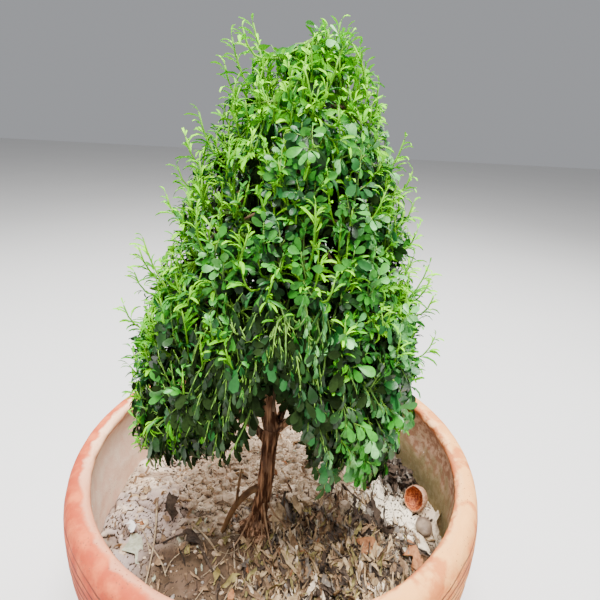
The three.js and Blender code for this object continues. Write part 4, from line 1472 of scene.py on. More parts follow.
class Crown:
    """The crown's form: a cone with a rounded foot that leans a little to the right."""

    foot = 253.0
    top = 631.0
    radius = 128.0
    y = -26.0
    x_at_foot = -10.0
    lean = 0.068
    depth_share = 0.88
    widest_share = 0.27
    dome_share = 0.85
    taper = 0.72
    underside_rise = 0.82
    arch_height = 42.0
    arch_width = 36.0
    arch_x = -4.0
    tier_slope = 0.3
    slope_start = 40.0
    dip = 26.0
    dip_edge = (-6.0, 28.0)

    @classmethod
    def x(cls, z: float) -> float:
        """Where the crown's middle line is at a height."""
        return cls.x_at_foot + cls.lean * (z - cls.foot)

    @classmethod
    def aside(cls, degrees: float, radius: float, z: float) -> Array:
        """A place beside the middle line, at a bearing in degrees."""
        turn = math.radians(degrees)
        return np.array([cls.x(z) + radius * math.cos(turn), cls.y + radius * math.sin(turn), z])

    @classmethod
    def outward(cls, place: Array) -> Array:
        """The level way out of the crown at a place."""
        return unit(np.array([place[0] - cls.x(place[2]), place[1] - cls.y, 0.0]))

    @classmethod
    def reach(cls, z: float, bearing: float) -> float:
        """The crown's radius at a height and a bearing.

        Args:
            z: The height.
            bearing: The bearing in radians.

        Returns:
            The radius.
        """
        share = min(max((z - cls.foot) / (cls.top - cls.foot), 0.0), 1.0)
        below = max(0.0, cls.widest_share - share) / 0.52
        above = max(0.0, share - cls.widest_share) / (1.0 - cls.widest_share)
        dome = max(0.0, share - cls.dome_share) / (1.01 - cls.dome_share)
        profile = (math.sqrt(1.0 - below**2) - cls.taper * above**1.3) * math.sqrt(1.0 - dome**2)
        depth = 1.0 - (1.0 - cls.depth_share) * math.sin(bearing) ** 2
        return cls.radius * profile * depth

    @classmethod
    def slope(cls, z: float) -> float:
        """How fast the crown widens with height, no steeper than a shoot would follow."""
        change = (cls.reach(z + 5.0, 0.0) - cls.reach(z - 5.0, 0.0)) / 10.0
        return min(max(change, -0.5), 0.3)

    @classmethod
    def ceiling(cls, x: float) -> float:
        """The crown's top: highest in a tuft at the right, with a dip beside it."""
        return cls.top - cls.dip * (1.0 - soft_step(x, *cls.dip_edge))

    @classmethod
    def underside(cls, x: float, y: float) -> float:
        """The crown's underside: it climbs to the front and is arched over the trunk.

        Args:
            x: The place from side to side.
            y: The place from front to back.

        Returns:
            The height.
        """
        forward = max(0.0, cls.y - y)
        arch = cls.arch_height * math.exp(-(((x - cls.arch_x) / cls.arch_width) ** 2))
        return cls.foot + cls.underside_rise * forward + arch


@dataclass(frozen=True)
class Tier:
    """A storey of the crown: its heights, its hollow round the leader, and its limbs."""

    low: float
    high: float
    inner: float
    limb_radius: float
    limb_end: float


SKIRT = Tier(Crown.foot, 356.0, 40.0, 4.4, 312.0)
MIDDLE = Tier(356.0, 452.0, 34.0, 3.8, 392.0)
FRONT = Tier(Crown.foot, 452.0, 34.0, 3.8, 366.0)
UPPER = Tier(452.0, 548.0, 23.0, 3.0, 486.0)
TIP = Tier(548.0, Crown.top, 4.0, 2.6, 546.0)

TRUNK_PATH = Curve(
    ((-17, -33, 160), (-14.5, -30.5, 187), (-10.5, -28.5, 212), (-8, -28, 240), (-6.5, -28, 266),
     (-4, -28, 292))
)
LEADER_PATH = Curve(
    ((-4, -28, 288), (-8, -27.5, 322), (-4, -26, 372), (2, -26, 440), (Crown.x(546), Crown.y, 546))
)
TRUNK_FORK_HEIGHT = 292.0


@dataclass(frozen=True)
class Mass:
    """One mass of foliage, between two bearings in degrees, on a limb that forks off at a height."""

    name: str
    limb: str
    tier: Tier
    start: float
    end: float
    rise: float
    fork: float

    def limb_path(self) -> Curve:
        """The middle line of its limb.

        Returns:
            The curve.
        """
        if self.tier is TIP:
            return LEADER_PATH
        parent = TRUNK_PATH if self.fork < TRUNK_FORK_HEIGHT else LEADER_PATH
        start = parent.at_height(self.fork)
        end = Crown.aside((self.start + self.end) / 2, self.tier.inner - 2.0, self.tier.limb_end)
        middle = start + 0.45 * (end - start) + [0.0, 0.0, 5.0]
        return Curve((start, middle, end))

    def place(self, across: float, up: float, out: float, depth: float) -> Array:
        """A point in the mass from shares of its bearing, height and depth, each from -1 to 1.

        Args:
            across: The share of its bearing.
            up: The share of its height.
            out: The share of its depth.
            depth: How far inside the outline it ends.

        Returns:
            The point.
        """
        middle = math.radians((self.start + self.end) / 2)
        half = math.radians((self.end - self.start) / 2)
        bearing = middle + across * half
        tier = self.tier
        z = (tier.low + tier.high) / 2 + up * (tier.high - tier.low) / 2
        for _ in range(3):
            outer = max(Crown.reach(z, bearing) - depth, tier.inner + 6.0)
            radius = tier.inner + (outer - tier.inner) * (out + 1.0) / 2
            x = Crown.x(z) + radius * math.cos(bearing)
            y = Crown.y + radius * math.sin(bearing)
            fall = Crown.tier_slope * (radius - Crown.slope_start)
            high = min(tier.high - fall, Crown.top)
            low = max(tier.low - fall, Crown.underside(x, y))
            z = (low + high) / 2 + up * (high - low) / 2
        return np.array([x, y, z])


def mass(side: str, storey: str, tier: Tier, start: float, end: float, rise: float, fork: float) -> Mass:
    """A mass named after its storey and side."""
    return Mass(f"foliage_{storey}_{side}", f"{storey}_limb_{side}", tier, start, end, rise, fork)


MASSES = (
    mass("left", "skirt", SKIRT, 148, 232, -0.9, 272),
    mass("right", "skirt", SKIRT, -52, 32, -0.9, 284),
    mass("back_right", "skirt", SKIRT, 32, 90, -0.9, 262),
    mass("back_left", "skirt", SKIRT, 90, 148, -0.9, 278),
    mass("front", "middle", FRONT, -128, -52, -0.8, 326),
    mass("right", "middle", MIDDLE, -52, 40, -0.7, 342),
    mass("back", "middle", MIDDLE, 40, 138, -0.7, 335),
    mass("left", "middle", MIDDLE, 138, 232, 0.8, 350),
    mass("front", "upper", UPPER, -145, -30, 0.9, 428),
    mass("right", "upper", UPPER, -30, 90, 0.8, 440),
    mass("left", "upper", UPPER, 90, 215, 1.0, 434),
    Mass("foliage_top", "leader", TIP, 0, 360, 1.0, 7),
)


@dataclass(frozen=True)
class BarkSkin:
    """Reddish-brown bark in long fibres, with grey patches and dark furrows."""

    wood: Shades = ((0.068, 0.030, 0.014), (0.62, 0.36, 0.20))
    grey: Colour = (0.36, 0.22, 0.14)
    furrow: Colour = (0.035, 0.017, 0.011)

    def material(self) -> Material:
        """The finish as a material.

        Returns:
            The material.
        """
        nodes = Nodes("bark", 0.85, 0.2)
        fibres = nodes.noise(420.0, 4.0, nodes.stretched((1.0, 1.0, 0.09)))
        furrows = nodes.noise(190.0, 3.0, nodes.stretched((1.0, 1.0, 0.16)))
        patches = nodes.times(nodes.rise(nodes.noise(60.0, 3.0), 0.52, 0.7), 0.4)
        wood = nodes.mix(patches, nodes.blend(fibres, 0.42, 0.72, self.wood), self.grey)
        nodes.colour(nodes.mix(nodes.rise(furrows, 0.42, 0.31), wood, self.furrow))
        nodes.bump(nodes.plus(nodes.times(fibres, 0.7), furrows), 0.8, 0.0016)
        return nodes.material


@dataclass
class Bark:
    """The trunk, leader, limbs and old roots, each with the ridges of its bark."""

    foot: float = 164.3
    ridge: float = 0.75
    trunk_radius: float = 7.3
    flare_radius: float = 17.0
    flare_height: float = 24.0

    def ridges(self, place: Vector, angle: float, depth: float) -> float:
        """The relief of fibrous bark: ridges along the stem that split, merge and flake.

        Args:
            place: The place on the middle line.
            angle: The angle round it.
            depth: The ridges' height.

        Returns:
            The relief's height.
        """
        around = Vector((math.cos(angle) * 2.3, math.sin(angle) * 2.3, place.z * 0.02))
        long_ridge = 1.0 - 2.0 * abs(noise.noise(around * 1.7))
        fibre = noise.noise(Vector((math.cos(angle) * 6.5, math.sin(angle) * 6.5, place.z * 0.05)))
        knots = noise.noise(Vector((math.cos(angle), math.sin(angle), place.z * 0.11)))
        return depth * (0.75 * long_ridge + 0.55 * fibre + 0.4 * knots)

    def trunk_radius_at(self, share: float, angle: float, place: Vector) -> float:
        """The trunk's radius with its flare, buttresses, swollen fork and bark.

        Args:
            share: The share of the trunk's length.
            angle: The angle round it.
            place: The place on the middle line.

        Returns:
            The radius.
        """
        up = place.z - self.foot
        flare = max(0.0, 1.0 - max(up, 0.0) / self.flare_height) ** 1.8
        buttress = 1.0 + 0.22 * flare * math.cos(3.0 * angle + 0.7)
        fork = 0.9 * soft_step(share, 0.8, 1.0)
        taper = self.trunk_radius * (1.1 - 0.22 * share) + fork
        bare = (taper + (self.flare_radius - self.trunk_radius) * flare) * buttress
        return bare + self.ridges(place, angle, self.ridge * (1.0 + flare))

    def build(self) -> None:
        """Makes every woody piece that the crown stands on."""
        bark = BarkSkin().material()
        trunk = bent_cylinder(TRUNK_PATH, self.trunk_radius_at, 72, 110)
        show(mesh_of(trunk, "trunk_bark"), "trunk_bark", bark, ["trunk"])
        leader = self.limb(LEADER_PATH, 6.6, 2.6, 28, 70)
        show(mesh_of(leader, "leader_bark"), "leader_bark", bark, ["leader"])
        for mass_ in MASSES[:-1]:
            radius = mass_.tier.limb_radius
            shape = self.limb(mass_.limb_path(), radius, 0.6 * radius, 20, 26)
            name = mass_.limb + "_bark"
            show(mesh_of(shape, name), name, bark, [mass_.limb])
        self.roots()

    def limb(self, path: Curve, first: float, last: float, sides: int, steps: int) -> bmesh.types.BMesh:
        """A tapering limb with bark in proportion to its thickness.

        Args:
            path: The middle line.
            first: The radius at its root.
            last: The radius at its tip.
            sides: How many sides it has.
            steps: How many rings of faces it has.

        Returns:
            The shape in millimetres.
        """

        def radius_at(share: float, angle: float, place: Vector) -> float:
            """The limb's radius with its bark."""
            bare = first + (last - first) * share
            return bare + self.ridges(place, angle, 0.07 * bare)

        return bent_cylinder(path, radius_at, sides, steps)

    def roots(self) -> None:
        """The old side root with its dead shoot, and the thin roots over the flare."""
        bm = self.limb(Curve(((-10, -29, 222.5), (-24, -31, 215), (-38, -34, 198), (-52, -36, 162))),
                       3.5, 2.2, 20, 40)
        shoot_path = Curve(((-37, -33.5, 199), (-35, -35, 222), (-31.5, -36, 247)))
        shoot = self.limb(shoot_path, 1.7, 0.8, 12, 20)
        part = bpy.data.meshes.new("shoot")
        shoot.to_mesh(part)
        shoot.free()
        bm.from_mesh(part)
        bpy.data.meshes.remove(part)
        root = PlainFinish("root", (0.33, 0.20, 0.09), (0.13, 0.07, 0.035), 0.7, 150.0, (1.0, 1.0, 0.3))
        show(mesh_of(bm, "side_root_bark"), "side_root_bark", root.material(), ["side_root"])
        twigs = Twigs(6)
        thin_roots = (
            ((-10, -36, 206), (-7, -41, 188), (-3, -47, 172), (3, -63, 163.5), 1.2),
            ((-5, -34, 204), (2, -35, 190), (10, -33, 177), (17, -37, 165), 1.1),
            ((-21, -38, 196), (-27, -44, 180), (-33, -50, 170), (-40, -58, 163), 1.0),
            ((-12, -39, 186), (-10, -46, 174), (-14, -56, 166), (-12, -74, 163), 0.8),
            ((2, -50, 166), (9, -60, 165.5), (12, -74, 164), (8, -88, 163), 0.7),
        )
        for *points, radius in thin_roots:
            path = Curve(points).at(np.linspace(0.0, 1.0, 14))[None]
            twigs.add(path, radius, 0.55 * radius)
        pale = PlainFinish("thin_root", (0.50, 0.33, 0.19), (0.24, 0.14, 0.08), 0.7, 240.0)
        show(twigs.mesh("thin_roots"), "thin_roots", pale.material())


@dataclass(frozen=True)
class Cut:
    """How one kind of shoot bears its leaves."""

    blade: Blade
    leafy: float  # length of the leafy outer part of the shoot
    step: float  # between one spray and the next along it
    rachis: float  # length of a spray's own stalk
    leaflets: int
    leaf: float  # length of a leaflet
    share: float  # its width as a share of that
    fold: float
    bend: float
    arch: float  # how far the spray curls over
    lean: float  # angle between shoot and spray
    splay: float  # angle between a spray's stalk and its leaflets
    droop: float  # how strongly the leaflets hang
    skyward: float  # how far they face up rather than out
    # Sprays beyond the lit share take a darker tone as painted shade
    lit: float = 0.55  # outer share of the leafy part that keeps the shoot's own tone

    def overhang(self) -> float:
        """How far the leaves reach past the shoot's own tip."""
        return 0.75 * self.rachis + 0.8 * self.leaf


class Habit(Enum):
    """The kinds of shoot: ripe and hanging ones, opening ones, young whips, and shaded ones."""

    RIPE = Cut(Blade.ROUND, 27.0, 4.8, 6.4, 5, 8.4, 0.58, 0.2, 0.35, 0.4, 0.85, 0.95, 0.35, 0.45)
    BROAD = Cut(Blade.ROUND, 30.0, 6.0, 8.5, 5, 11.0, 0.52, 0.16, 0.35, 0.4, 0.8, 0.85, 0.6, 0.35)
    HANGING = Cut(Blade.ROUND, 34.0, 6.4, 6.0, 3, 13.0, 0.38, 0.22, 0.3, 0.3, 0.45, 0.3, 2.8, 0.0)
    OPENING = Cut(Blade.ROUND, 32.0, 5.4, 5.0, 4, 9.4, 0.38, 0.45, 0.7, 0.5, 0.42, 0.50, -0.3, 0.8)
    YOUNG = Cut(Blade.NARROW, 40.0, 4.8, 2.0, 2, 12.8, 0.21, 0.6, 1.35, 0.4, 0.30, 0.28, -0.45, 1.0)
    INNER = Cut(Blade.PLAIN, 26.0, 7.0, 11.0, 4, 11.5, 0.48, 0.15, 0.3, 0.4, 0.9, 0.9, 1.0, 0.3)


# Ends of the long young shoots that stand clear of the crown, by mass
WHIPS = {
    "foliage_top": (
        (-39, -30, 611), (-31, -36, 616), (-25, -30, 620), (-20, -35, 606), (-44, -30, 594),
        (-14, -34, 592), (41, -28, 617), (33, -31, 623), (26, -26, 616), (36, -38, 611), (52, -30, 598),
        (48, -36, 588),
    ),
    "foliage_upper_right": ((84, -34, 552), (91, -42, 531), (97, -34, 508), (100, -44, 489)),
    "foliage_upper_left": ((-62, -34, 563), (-72, -34, 546), (-80, -30, 525), (-88, -36, 505)),
    "foliage_middle_right": ((124, -32, 432), (114, -40, 462), (121, -26, 446), (127, -44, 402)),
    "foliage_middle_left": ((-112, -36, 462), (-121, -26, 438), (-104, -48, 474), (-127, -40, 414)),
}


@dataclass
class Foliage:
    """All that grows on the limbs: stems, branches, shoots, and leaves dealt out by tone."""

    spacing: float = 14.0
    branch_spacing: float = 34.0
    branch_depth: float = 30.0
    stem_length: float = 30.0
    shoot_rings: int = 7
    hang: float = 9.0
    gap_x: float = Crown.arch_x + 8.0  # middle of the gap over the trunk
    gap_width: float = 22.0
    gap_lift: float = 36.0
    drapes: tuple[Triple, ...] = ((-29.0, 10.0, 24.0), (40.0, 11.0, 20.0))
    drape_height: float = 30.0
    tassel_x: float = 72.0
    tassel_width: float = 30.0
    tassel_length: float = 20.0
    ripe_height: float = 300.0  # where leaves begin to grow younger
    young_span: float = 300.0
    tuft_height: float = 570.0
    # Painted shade on the leaves fades out over shade_fade and ends at shade_top above the underside
    shade_top: float = 142.0  # above the underside
    shade_fade: float = 70.0
    inner_density: float = 0.52
    inner_depths: Pair = (17.0, 68.0)
    inner_shade: float = 22.0
    inner_dusk_height: float = 360.0
    inner_bright_height: float = 535.0
    seed: int = 11
    wood: Twigs = field(default_factory=lambda: Twigs(5))
    shoots: Twigs = field(default_factory=lambda: Twigs(4))
    young: Twigs = field(default_factory=lambda: Twigs(4))
    stalks: Twigs = field(default_factory=lambda: Twigs(3))
    leaves: dict[tuple[Tone, Blade], Leaves] = field(default_factory=dict)

    def build(self) -> None:
        """Grows every mass, then joins what grew into pieces by kind."""
        for number, mass_ in enumerate(MASSES):
            self.grow(mass_, np.random.default_rng(self.seed + number))
        names = [mass_.name for mass_ in MASSES]
        kinds = (
            ("branches", self.wood, TWIG_BROWN, "bark"),
            ("shoots", self.shoots, TWIG_GREEN, "leaf"),
            ("young_shoots", self.young, TWIG_LIME, "leaf"),
            ("stalks", self.stalks, STALK_GREEN, "leaf"),
        )
        for name, twigs, finish, slot in kinds:
            show(twigs.mesh(name), name, finish.material(), names)
        for tone in Tone:
            material = tone.value.material()
            for blade in Blade:
                if (tone, blade) in self.leaves:
                    leaves = self.leaves[tone, blade]
                    name = f"{tone.value.name}_{blade.name.lower()}"
                    LOG.info("%s: %d leaflets", name, leaves.count())
                    show(leaves.mesh(name), name, material, names)

    def grow(self, mass_: Mass, rng: Rng) -> None:
        """Grows one mass from the tip of its limb.

        Args:
            mass_: The mass.
            rng: The source of chance for this mass.
        """
        limb = mass_.limb_path()
        tip = limb.at(1.0)[0]
        stem_end = tip + limb.heading(1.0) * self.stem_length
        stem = np.linspace(tip, stem_end, self.shoot_rings)
        radius = 0.6 * mass_.tier.limb_radius if mass_.tier is not TIP else 2.6
        self.wood.add(stem[None], radius, 0.5 * radius)
        nodes = self.branches(mass_, stem, rng)
        for across, up, out in self.spots(mass_, rng):
            self.shoot(mass_, nodes, across, up, out, rng)
        self.inner_shoots(mass_, nodes, rng)
        for whip in WHIPS.get(mass_.name, ()):
            end = np.array(whip, float)
            outward = Crown.outward(end)
            root = nodes[np.argmin(np.sum((nodes - end) ** 2, axis=1))]
            elbow = end - [0.0, 0.0, 34.0] - 6.0 * outward
            # The long young whips carry the painted sunlit glow
            self.bear(root, elbow, end, outward, Habit.YOUNG.value, Tone.SUN, rng)

    def branches(self, mass_: Mass, stem: Array, rng: Rng) -> Array:
        """Grows branches from the stem to points spread through the mass, and returns those points.

        Args:
            mass_: The mass.
            stem: The points of its stem.
            rng: The source of chance.

        Returns:
            The branches' ends, as rows.
        """
        nodes = []
        height = mass_.tier.high - mass_.tier.low
        rows = max(2, round(height / self.branch_spacing))
        for row in range(rows):
            up = (2 * row + 1) / rows - 1
            z = (mass_.tier.low + mass_.tier.high) / 2 + up * height / 2
            reach = max(Crown.reach(z, 0.0) - self.branch_depth, 12.0)
            wide = math.radians(mass_.end - mass_.start) * reach
            columns = max(2, round(wide / self.branch_spacing))
            for column in range(columns):
                across = (2 * column + 1) / columns - 1 + rng.uniform(-0.1, 0.1)
                nodes.append(mass_.place(across, up, 1.0, self.branch_depth))
        nodes = np.array(nodes)
        start = stem[rng.integers(2, len(stem), len(nodes))]
        elbow = start + 0.5 * (nodes - start) + [0.0, 0.0, 4.0] + rng.normal(0.0, 2.0, nodes.shape)
        share = np.linspace(0.0, 1.0, self.shoot_rings)[None, :, None]
        paths = arc(start[:, None], elbow[:, None], nodes[:, None], share)
        self.wood.add(paths, 1.7, 1.05)
        return nodes

    def spots(self, mass_: Mass, rng: Rng) -> list[Triple]:
        """The places of the shoots' tips, as shares, over the mass's outer face and its underside.

        Args:
            mass_: The mass.
            rng: The source of chance.

        Returns:
            The shares of bearing, height and depth of each.
        """
        found = []
        tier = mass_.tier
        height = tier.high - tier.low
        rows = round(height / self.spacing)
        turn = math.radians(mass_.end - mass_.start)
        for row in range(rows + 1):
            up = 2 * row / rows - 1
            z = (tier.low + tier.high) / 2 + up * height / 2
            columns = max(3, round(turn * Crown.reach(z, 0.0) / self.spacing))
            for column in range(columns):
                across = (2 * (column + rng.random()) / columns) - 1
                found.append((across, up + rng.uniform(-1.0, 1.0) / rows, 1.0))
        if tier.low <= Crown.foot:
            for out in (0.62, 0.25, -0.15):
                columns = round(turn * 90.0 * (0.5 + 0.5 * out) / self.spacing) + 3
                for column in range(columns):
                    found.append(((2 * (column + rng.random()) / columns) - 1, -1.0, out))
        return found

    def arch(self, tip: Array) -> float:
        """How far a place is under the crown's arch over the trunk, from 0 to 1."""
        return math.exp(-(((tip[0] - self.gap_x) / self.gap_width) ** 2))

    def drape(self, tip: Array) -> float:
        """How far the tassels on either side of the trunk hang below the arch.

        Args:
            tip: The end of a shoot.

        Returns:
            The length by which the shoot is let down.
        """
        high = Crown.underside(tip[0], tip[1]) + self.drape_height
        near = float(np.clip((high - tip[2]) / self.drape_height, 0.0, 1.0))
        return near * sum(
            length * math.exp(-(((tip[0] - x) / width) ** 2)) for x, width, length in self.drapes
        )

    def choose(self, place: Array, out: float, rng: Rng) -> tuple[Habit, Tone]:
        """The habit and tone of a shoot by its height and side.

        Args:
            place: Its tip.
            out: How far out it is, from -1 to 1.
            rng: The source of chance.

        Returns:
            The habit and the tone.
        """
        bearing = math.atan2(place[1] - Crown.y, place[0] - Crown.x(place[2]))
        left = max(0.0, -math.cos(bearing))
        right = max(0.0, math.cos(bearing))
        height = float(np.clip((place[2] - self.ripe_height) / self.young_span, 0.0, 1.0))
        # Underside shoots in dark tones: painted shade under the crown
        if out < 0.9:
            return Habit.HANGING, (Tone.SHADE if rng.random() < 0.5 else Tone.DEEP)
        # The top tuft in the brightest tone: a painted sunlit glow
        if place[2] > self.tuft_height and rng.random() < 0.8:
            return (Habit.YOUNG if rng.random() < 0.35 else Habit.OPENING), Tone.SUN
        # The nearer a shoot sits to the underside, the more its tones are painted in shade
        above = place[2] - Crown.underside(place[0], place[1])
        low = float(np.clip((self.shade_top - above) / self.shade_fade, 0.0, 1.0))
        low *= 1.0 - 0.15 * left**2
        young = (0.26 + 0.32 * height**2 + 0.44 * left + 0.14 * right) * (1.0 - 0.97 * low)
        chance = rng.random()
        if chance < young:
            # Some young shoots at right get the painted sunlit glow
            if rng.random() < 0.45 * right:
                return Habit.YOUNG, Tone.SUN
            return Habit.YOUNG, (Tone.LIME if rng.random() < 0.55 else Tone.FRESH)
        if chance < young + (0.22 + 0.08 * left) * (1.0 - 0.85 * low):
            return Habit.OPENING, (Tone.FRESH if rng.random() < 0.55 else Tone.GRASS)
        if rng.random() < 1.3 * low:
            # Low shoots: dark tones as painted shade, fewer at right, where the painted sheen grows
            dusk = low * (1.0 - 0.85 * right)
            shade = 0.7 * low**2 * (1.0 - 0.85 * right)
            weights = np.array([0.10 + 0.28 * right, 0.20 - 0.04 * right, 0.52 * right, dusk, shade])
            habit = Habit.BROAD if rng.random() < 0.1 + 0.4 * right else Habit.HANGING
        else:
            # Higher shoots: the painted sheen grows towards the right
            weights = np.array([0.46, 0.28 - 0.14 * right, 0.12 + 0.5 * right, 0.06, 0.0])
            habit = Habit.BROAD if rng.random() < 0.10 + 0.25 * right * (1.0 - height) else Habit.RIPE
        tones = (Tone.GRASS, Tone.DEEP, Tone.FROST, Tone.DUSK, Tone.SHADE)
        return habit, tones[rng.choice(len(tones), p=weights / weights.sum())]

    def shoot(self, mass_: Mass, nodes: Array, across: float, up: float, out: float, rng: Rng) -> None:
        """Grows one shoot from the nearest branch to its place on the crown's outline.

        Args:
            mass_: The mass that it grows in.
            nodes: The ends of the mass's branches.
            across: The share of the mass's bearing.
            up: The share of its height.
            out: The share of its depth.
            rng: The source of chance.
        """
        habit, tone = self.choose(mass_.place(across, up, out, 0.0), out, rng)
        cut = habit.value
        over = cut.overhang()
        inset = 0.7 * over + rng.uniform(-3.0, 7.0)
        if habit is Habit.YOUNG or mass_.tier is TIP:
            inset = rng.uniform(1.0, 14.0)
        tip = mass_.place(across, up, out, inset)
        outward = Crown.outward(tip)
        above = tip[2] - Crown.foot - Crown.underside_rise * max(0.0, Crown.y - tip[1])
        upright = 0.9 * soft_step(above, 55.0, 120.0)
        rise = mass_.rise
        if habit is Habit.YOUNG and (tip[2] > 330.0 or rng.random() < 0.4):
            rise = 1.0
        elif habit is not Habit.HANGING and rng.random() < upright:
            rise = 0.9
        tip[2] = min(tip[2], Crown.ceiling(tip[0]) - max(rise, 0.0) * over)
        arch = self.arch(tip)
        front = float(np.clip((Crown.y - tip[1]) / 60.0, 0.0, 1.0))
        tassel = math.exp(-(((tip[0] - self.tassel_x) / self.tassel_width) ** 2))
        tassel *= self.tassel_length * front
        hang = (self.hang * rng.uniform(-0.9, 2.8) + tassel) * (1.0 - arch) - self.gap_lift * arch
        tip[2] = max(tip[2], Crown.underside(tip[0], tip[1]) + over - hang)
        tip[2] -= self.drape(tip)
        spread = Crown.slope(tip[2]) * math.copysign(1.0, rise) + 0.36
        heading = outward * spread + np.array([0.0, 0.0, rise]) + rng.normal(0.0, 0.2, 3)
        heading = unit(heading)
        root = nodes[np.argmin(np.sum((nodes - (tip - heading * cut.leafy)) ** 2, axis=1))]
        elbow = tip - heading * cut.leafy * 0.8
        self.bear(root, elbow, tip, outward, cut, tone, rng)

    def inner_shoots(self, mass_: Mass, nodes: Array, rng: Rng) -> None:
        """Fills the mass's inside with short shoots whose leaves are painted in shade.

        Args:
            mass_: The mass.
            nodes: The ends of its branches.
            rng: The source of chance.
        """
        size = math.radians(mass_.end - mass_.start) * (mass_.tier.high - mass_.tier.low)
        reach = Crown.reach((mass_.tier.low + mass_.tier.high) / 2, 0.0) / Crown.radius
        for _ in range(round(size * reach * self.inner_density)):
            depth = rng.uniform(*self.inner_depths)
            tip = mass_.place(rng.uniform(-1, 1), rng.uniform(-0.8, 0.9), 1.0, depth)
            lowest = Crown.underside(tip[0], tip[1]) + 16.0 + 40.0 * self.arch(tip)
            tip[2] = max(min(tip[2], Crown.top - 30.0), lowest)
            outward = Crown.outward(tip)
            heading = unit(outward * 0.7 + rng.normal(0.0, 0.5, 3) + [0.0, 0.0, 0.4 * mass_.rise])
            root = nodes[np.argmin(np.sum((nodes - tip) ** 2, axis=1))]
            elbow = tip - heading * 14.0
            # Painted shade inside the crown: darker low down and deep in, plain greens near the lit top
            tone = Tone.DEEP if tip[2] > self.inner_dusk_height else Tone.DUSK
            if depth > self.inner_shade:
                tone = Tone.SHADE
            if tip[2] > self.inner_bright_height:
                tone = Tone.FRESH if rng.random() < 0.4 else Tone.GRASS
            self.bear(root, elbow, tip, outward, Habit.INNER.value, tone, rng)

    def bear(
        self, root: Array, elbow: Array, tip: Array, outward: Array, cut: Cut, tone: Tone, rng: Rng
    ) -> None:
        """Makes a shoot's stem, and the sprays of leaflets along its outer part.

        Args:
            root: Where it leaves its branch.
            elbow: Where it bends outwards.
            tip: Its end.
            outward: The way out of the crown there.
            cut: How it bears its leaves.
            tone: Its leaves' tone.
            rng: The source of chance.
        """
        share = np.linspace(0.0, 1.0, self.shoot_rings)[:, None]
        path = arc(root, elbow, tip, share)
        fresh = cut in (Habit.YOUNG.value, Habit.OPENING.value)
        (self.young if fresh else self.shoots).add(path[None], 0.95, 0.6 if fresh else 0.5)
        lengths = lengths_of(path)
        back = np.arange(0.0, min(cut.leafy, 0.9 * lengths[-1]), cut.step)
        back[1:] += rng.uniform(-1.2, 1.2, len(back) - 1)
        at = lengths[-1] - back
        base = path_at(path, lengths, at)
        tangent = unit(path_at(path, lengths, at + 1.5) - path_at(path, lengths, at - 1.5))
        side = unit(np.cross(tangent, outward))
        front = np.cross(side, tangent)
        front *= np.where(np.sum(front * outward, axis=1) < 0, -1.0, 1.0)[:, None]
        count = len(back)
        turn = rng.uniform(0.0, 0.8, count) * math.pi / 2
        sign = np.where(np.arange(count) % 2 == 0, 1.0, -1.0)[:, None]
        around = side * np.cos(turn)[:, None] * sign + front * np.sin(turn)[:, None]
        lean = (cut.lean + rng.normal(0.0, 0.2, count))[:, None]
        lean[0] = 0.1
        way = unit(tangent * np.cos(lean) + around * np.sin(lean))
        facing = outward * (1.0 - 0.8 * cut.skyward) + np.array([0.0, 0.0, 0.2 + 0.8 * cut.skyward])
        facing = facing + rng.normal(0.0, 0.3, (count, 3))
        growth = np.clip(0.6 + 0.12 * np.arange(count), 0.0, 1.0) if cut.share < 0.45 else np.ones(count)
        if cut is not Habit.YOUNG.value:
            growth = growth * (1.0 - 0.2 * float(np.clip((tip[2] - 420.0) / 180.0, 0.0, 1.0)))
        normal = across_axis(way, facing)
        # Outer sprays keep the shoot's tone; inner ones are painted in shade with a darker tone
        outer = back < cut.lit * cut.leafy
        for part, part_tone in ((outer, tone), (~outer, SHADED_TONE[tone])):
            if part.any():
                self.sprays(base[part], way[part], normal[part], growth[part], cut, part_tone, rng)

    def sprays(
        self, base: Array, way: Array, normal: Array, growth: Array, cut: Cut, tone: Tone, rng: Rng
    ) -> None:
        """Makes sprays: a curling stalk each, with leaflets to either side in turn and one at its end.

        Args:
            base: Their roots, as rows.
            way: The way that each sets out.
            normal: The way that each faces.
            growth: Their size as a share of full size.
            cut: How they bear their leaves.
            tone: Their tone.
            rng: The source of chance.
        """
        count = len(base)
        length = cut.rachis * growth * rng.uniform(0.8, 1.15, count)
        arch = np.maximum(cut.arch * rng.normal(1.0, 0.35, count), 0.05)[:, None]

        def stalk_at(share: Array) -> tuple[Array, Array, Array]:
            """The places, ways and normals at shares of the stalks.

            Args:
                share: The shares, as a row.

            Returns:
                The places, the ways and the normals.
            """
            turn = arch * share
            forward = (length[:, None] * np.sin(turn) / arch)[..., None]
            down = (length[:, None] * (1 - np.cos(turn)) / arch)[..., None]
            place = base[:, None] + way[:, None] * forward - normal[:, None] * down
            cos, sin = np.cos(turn)[..., None], np.sin(turn)[..., None]
            ahead = way[:, None] * cos - normal[:, None] * sin
            return place, ahead, normal[:, None] * cos + way[:, None] * sin

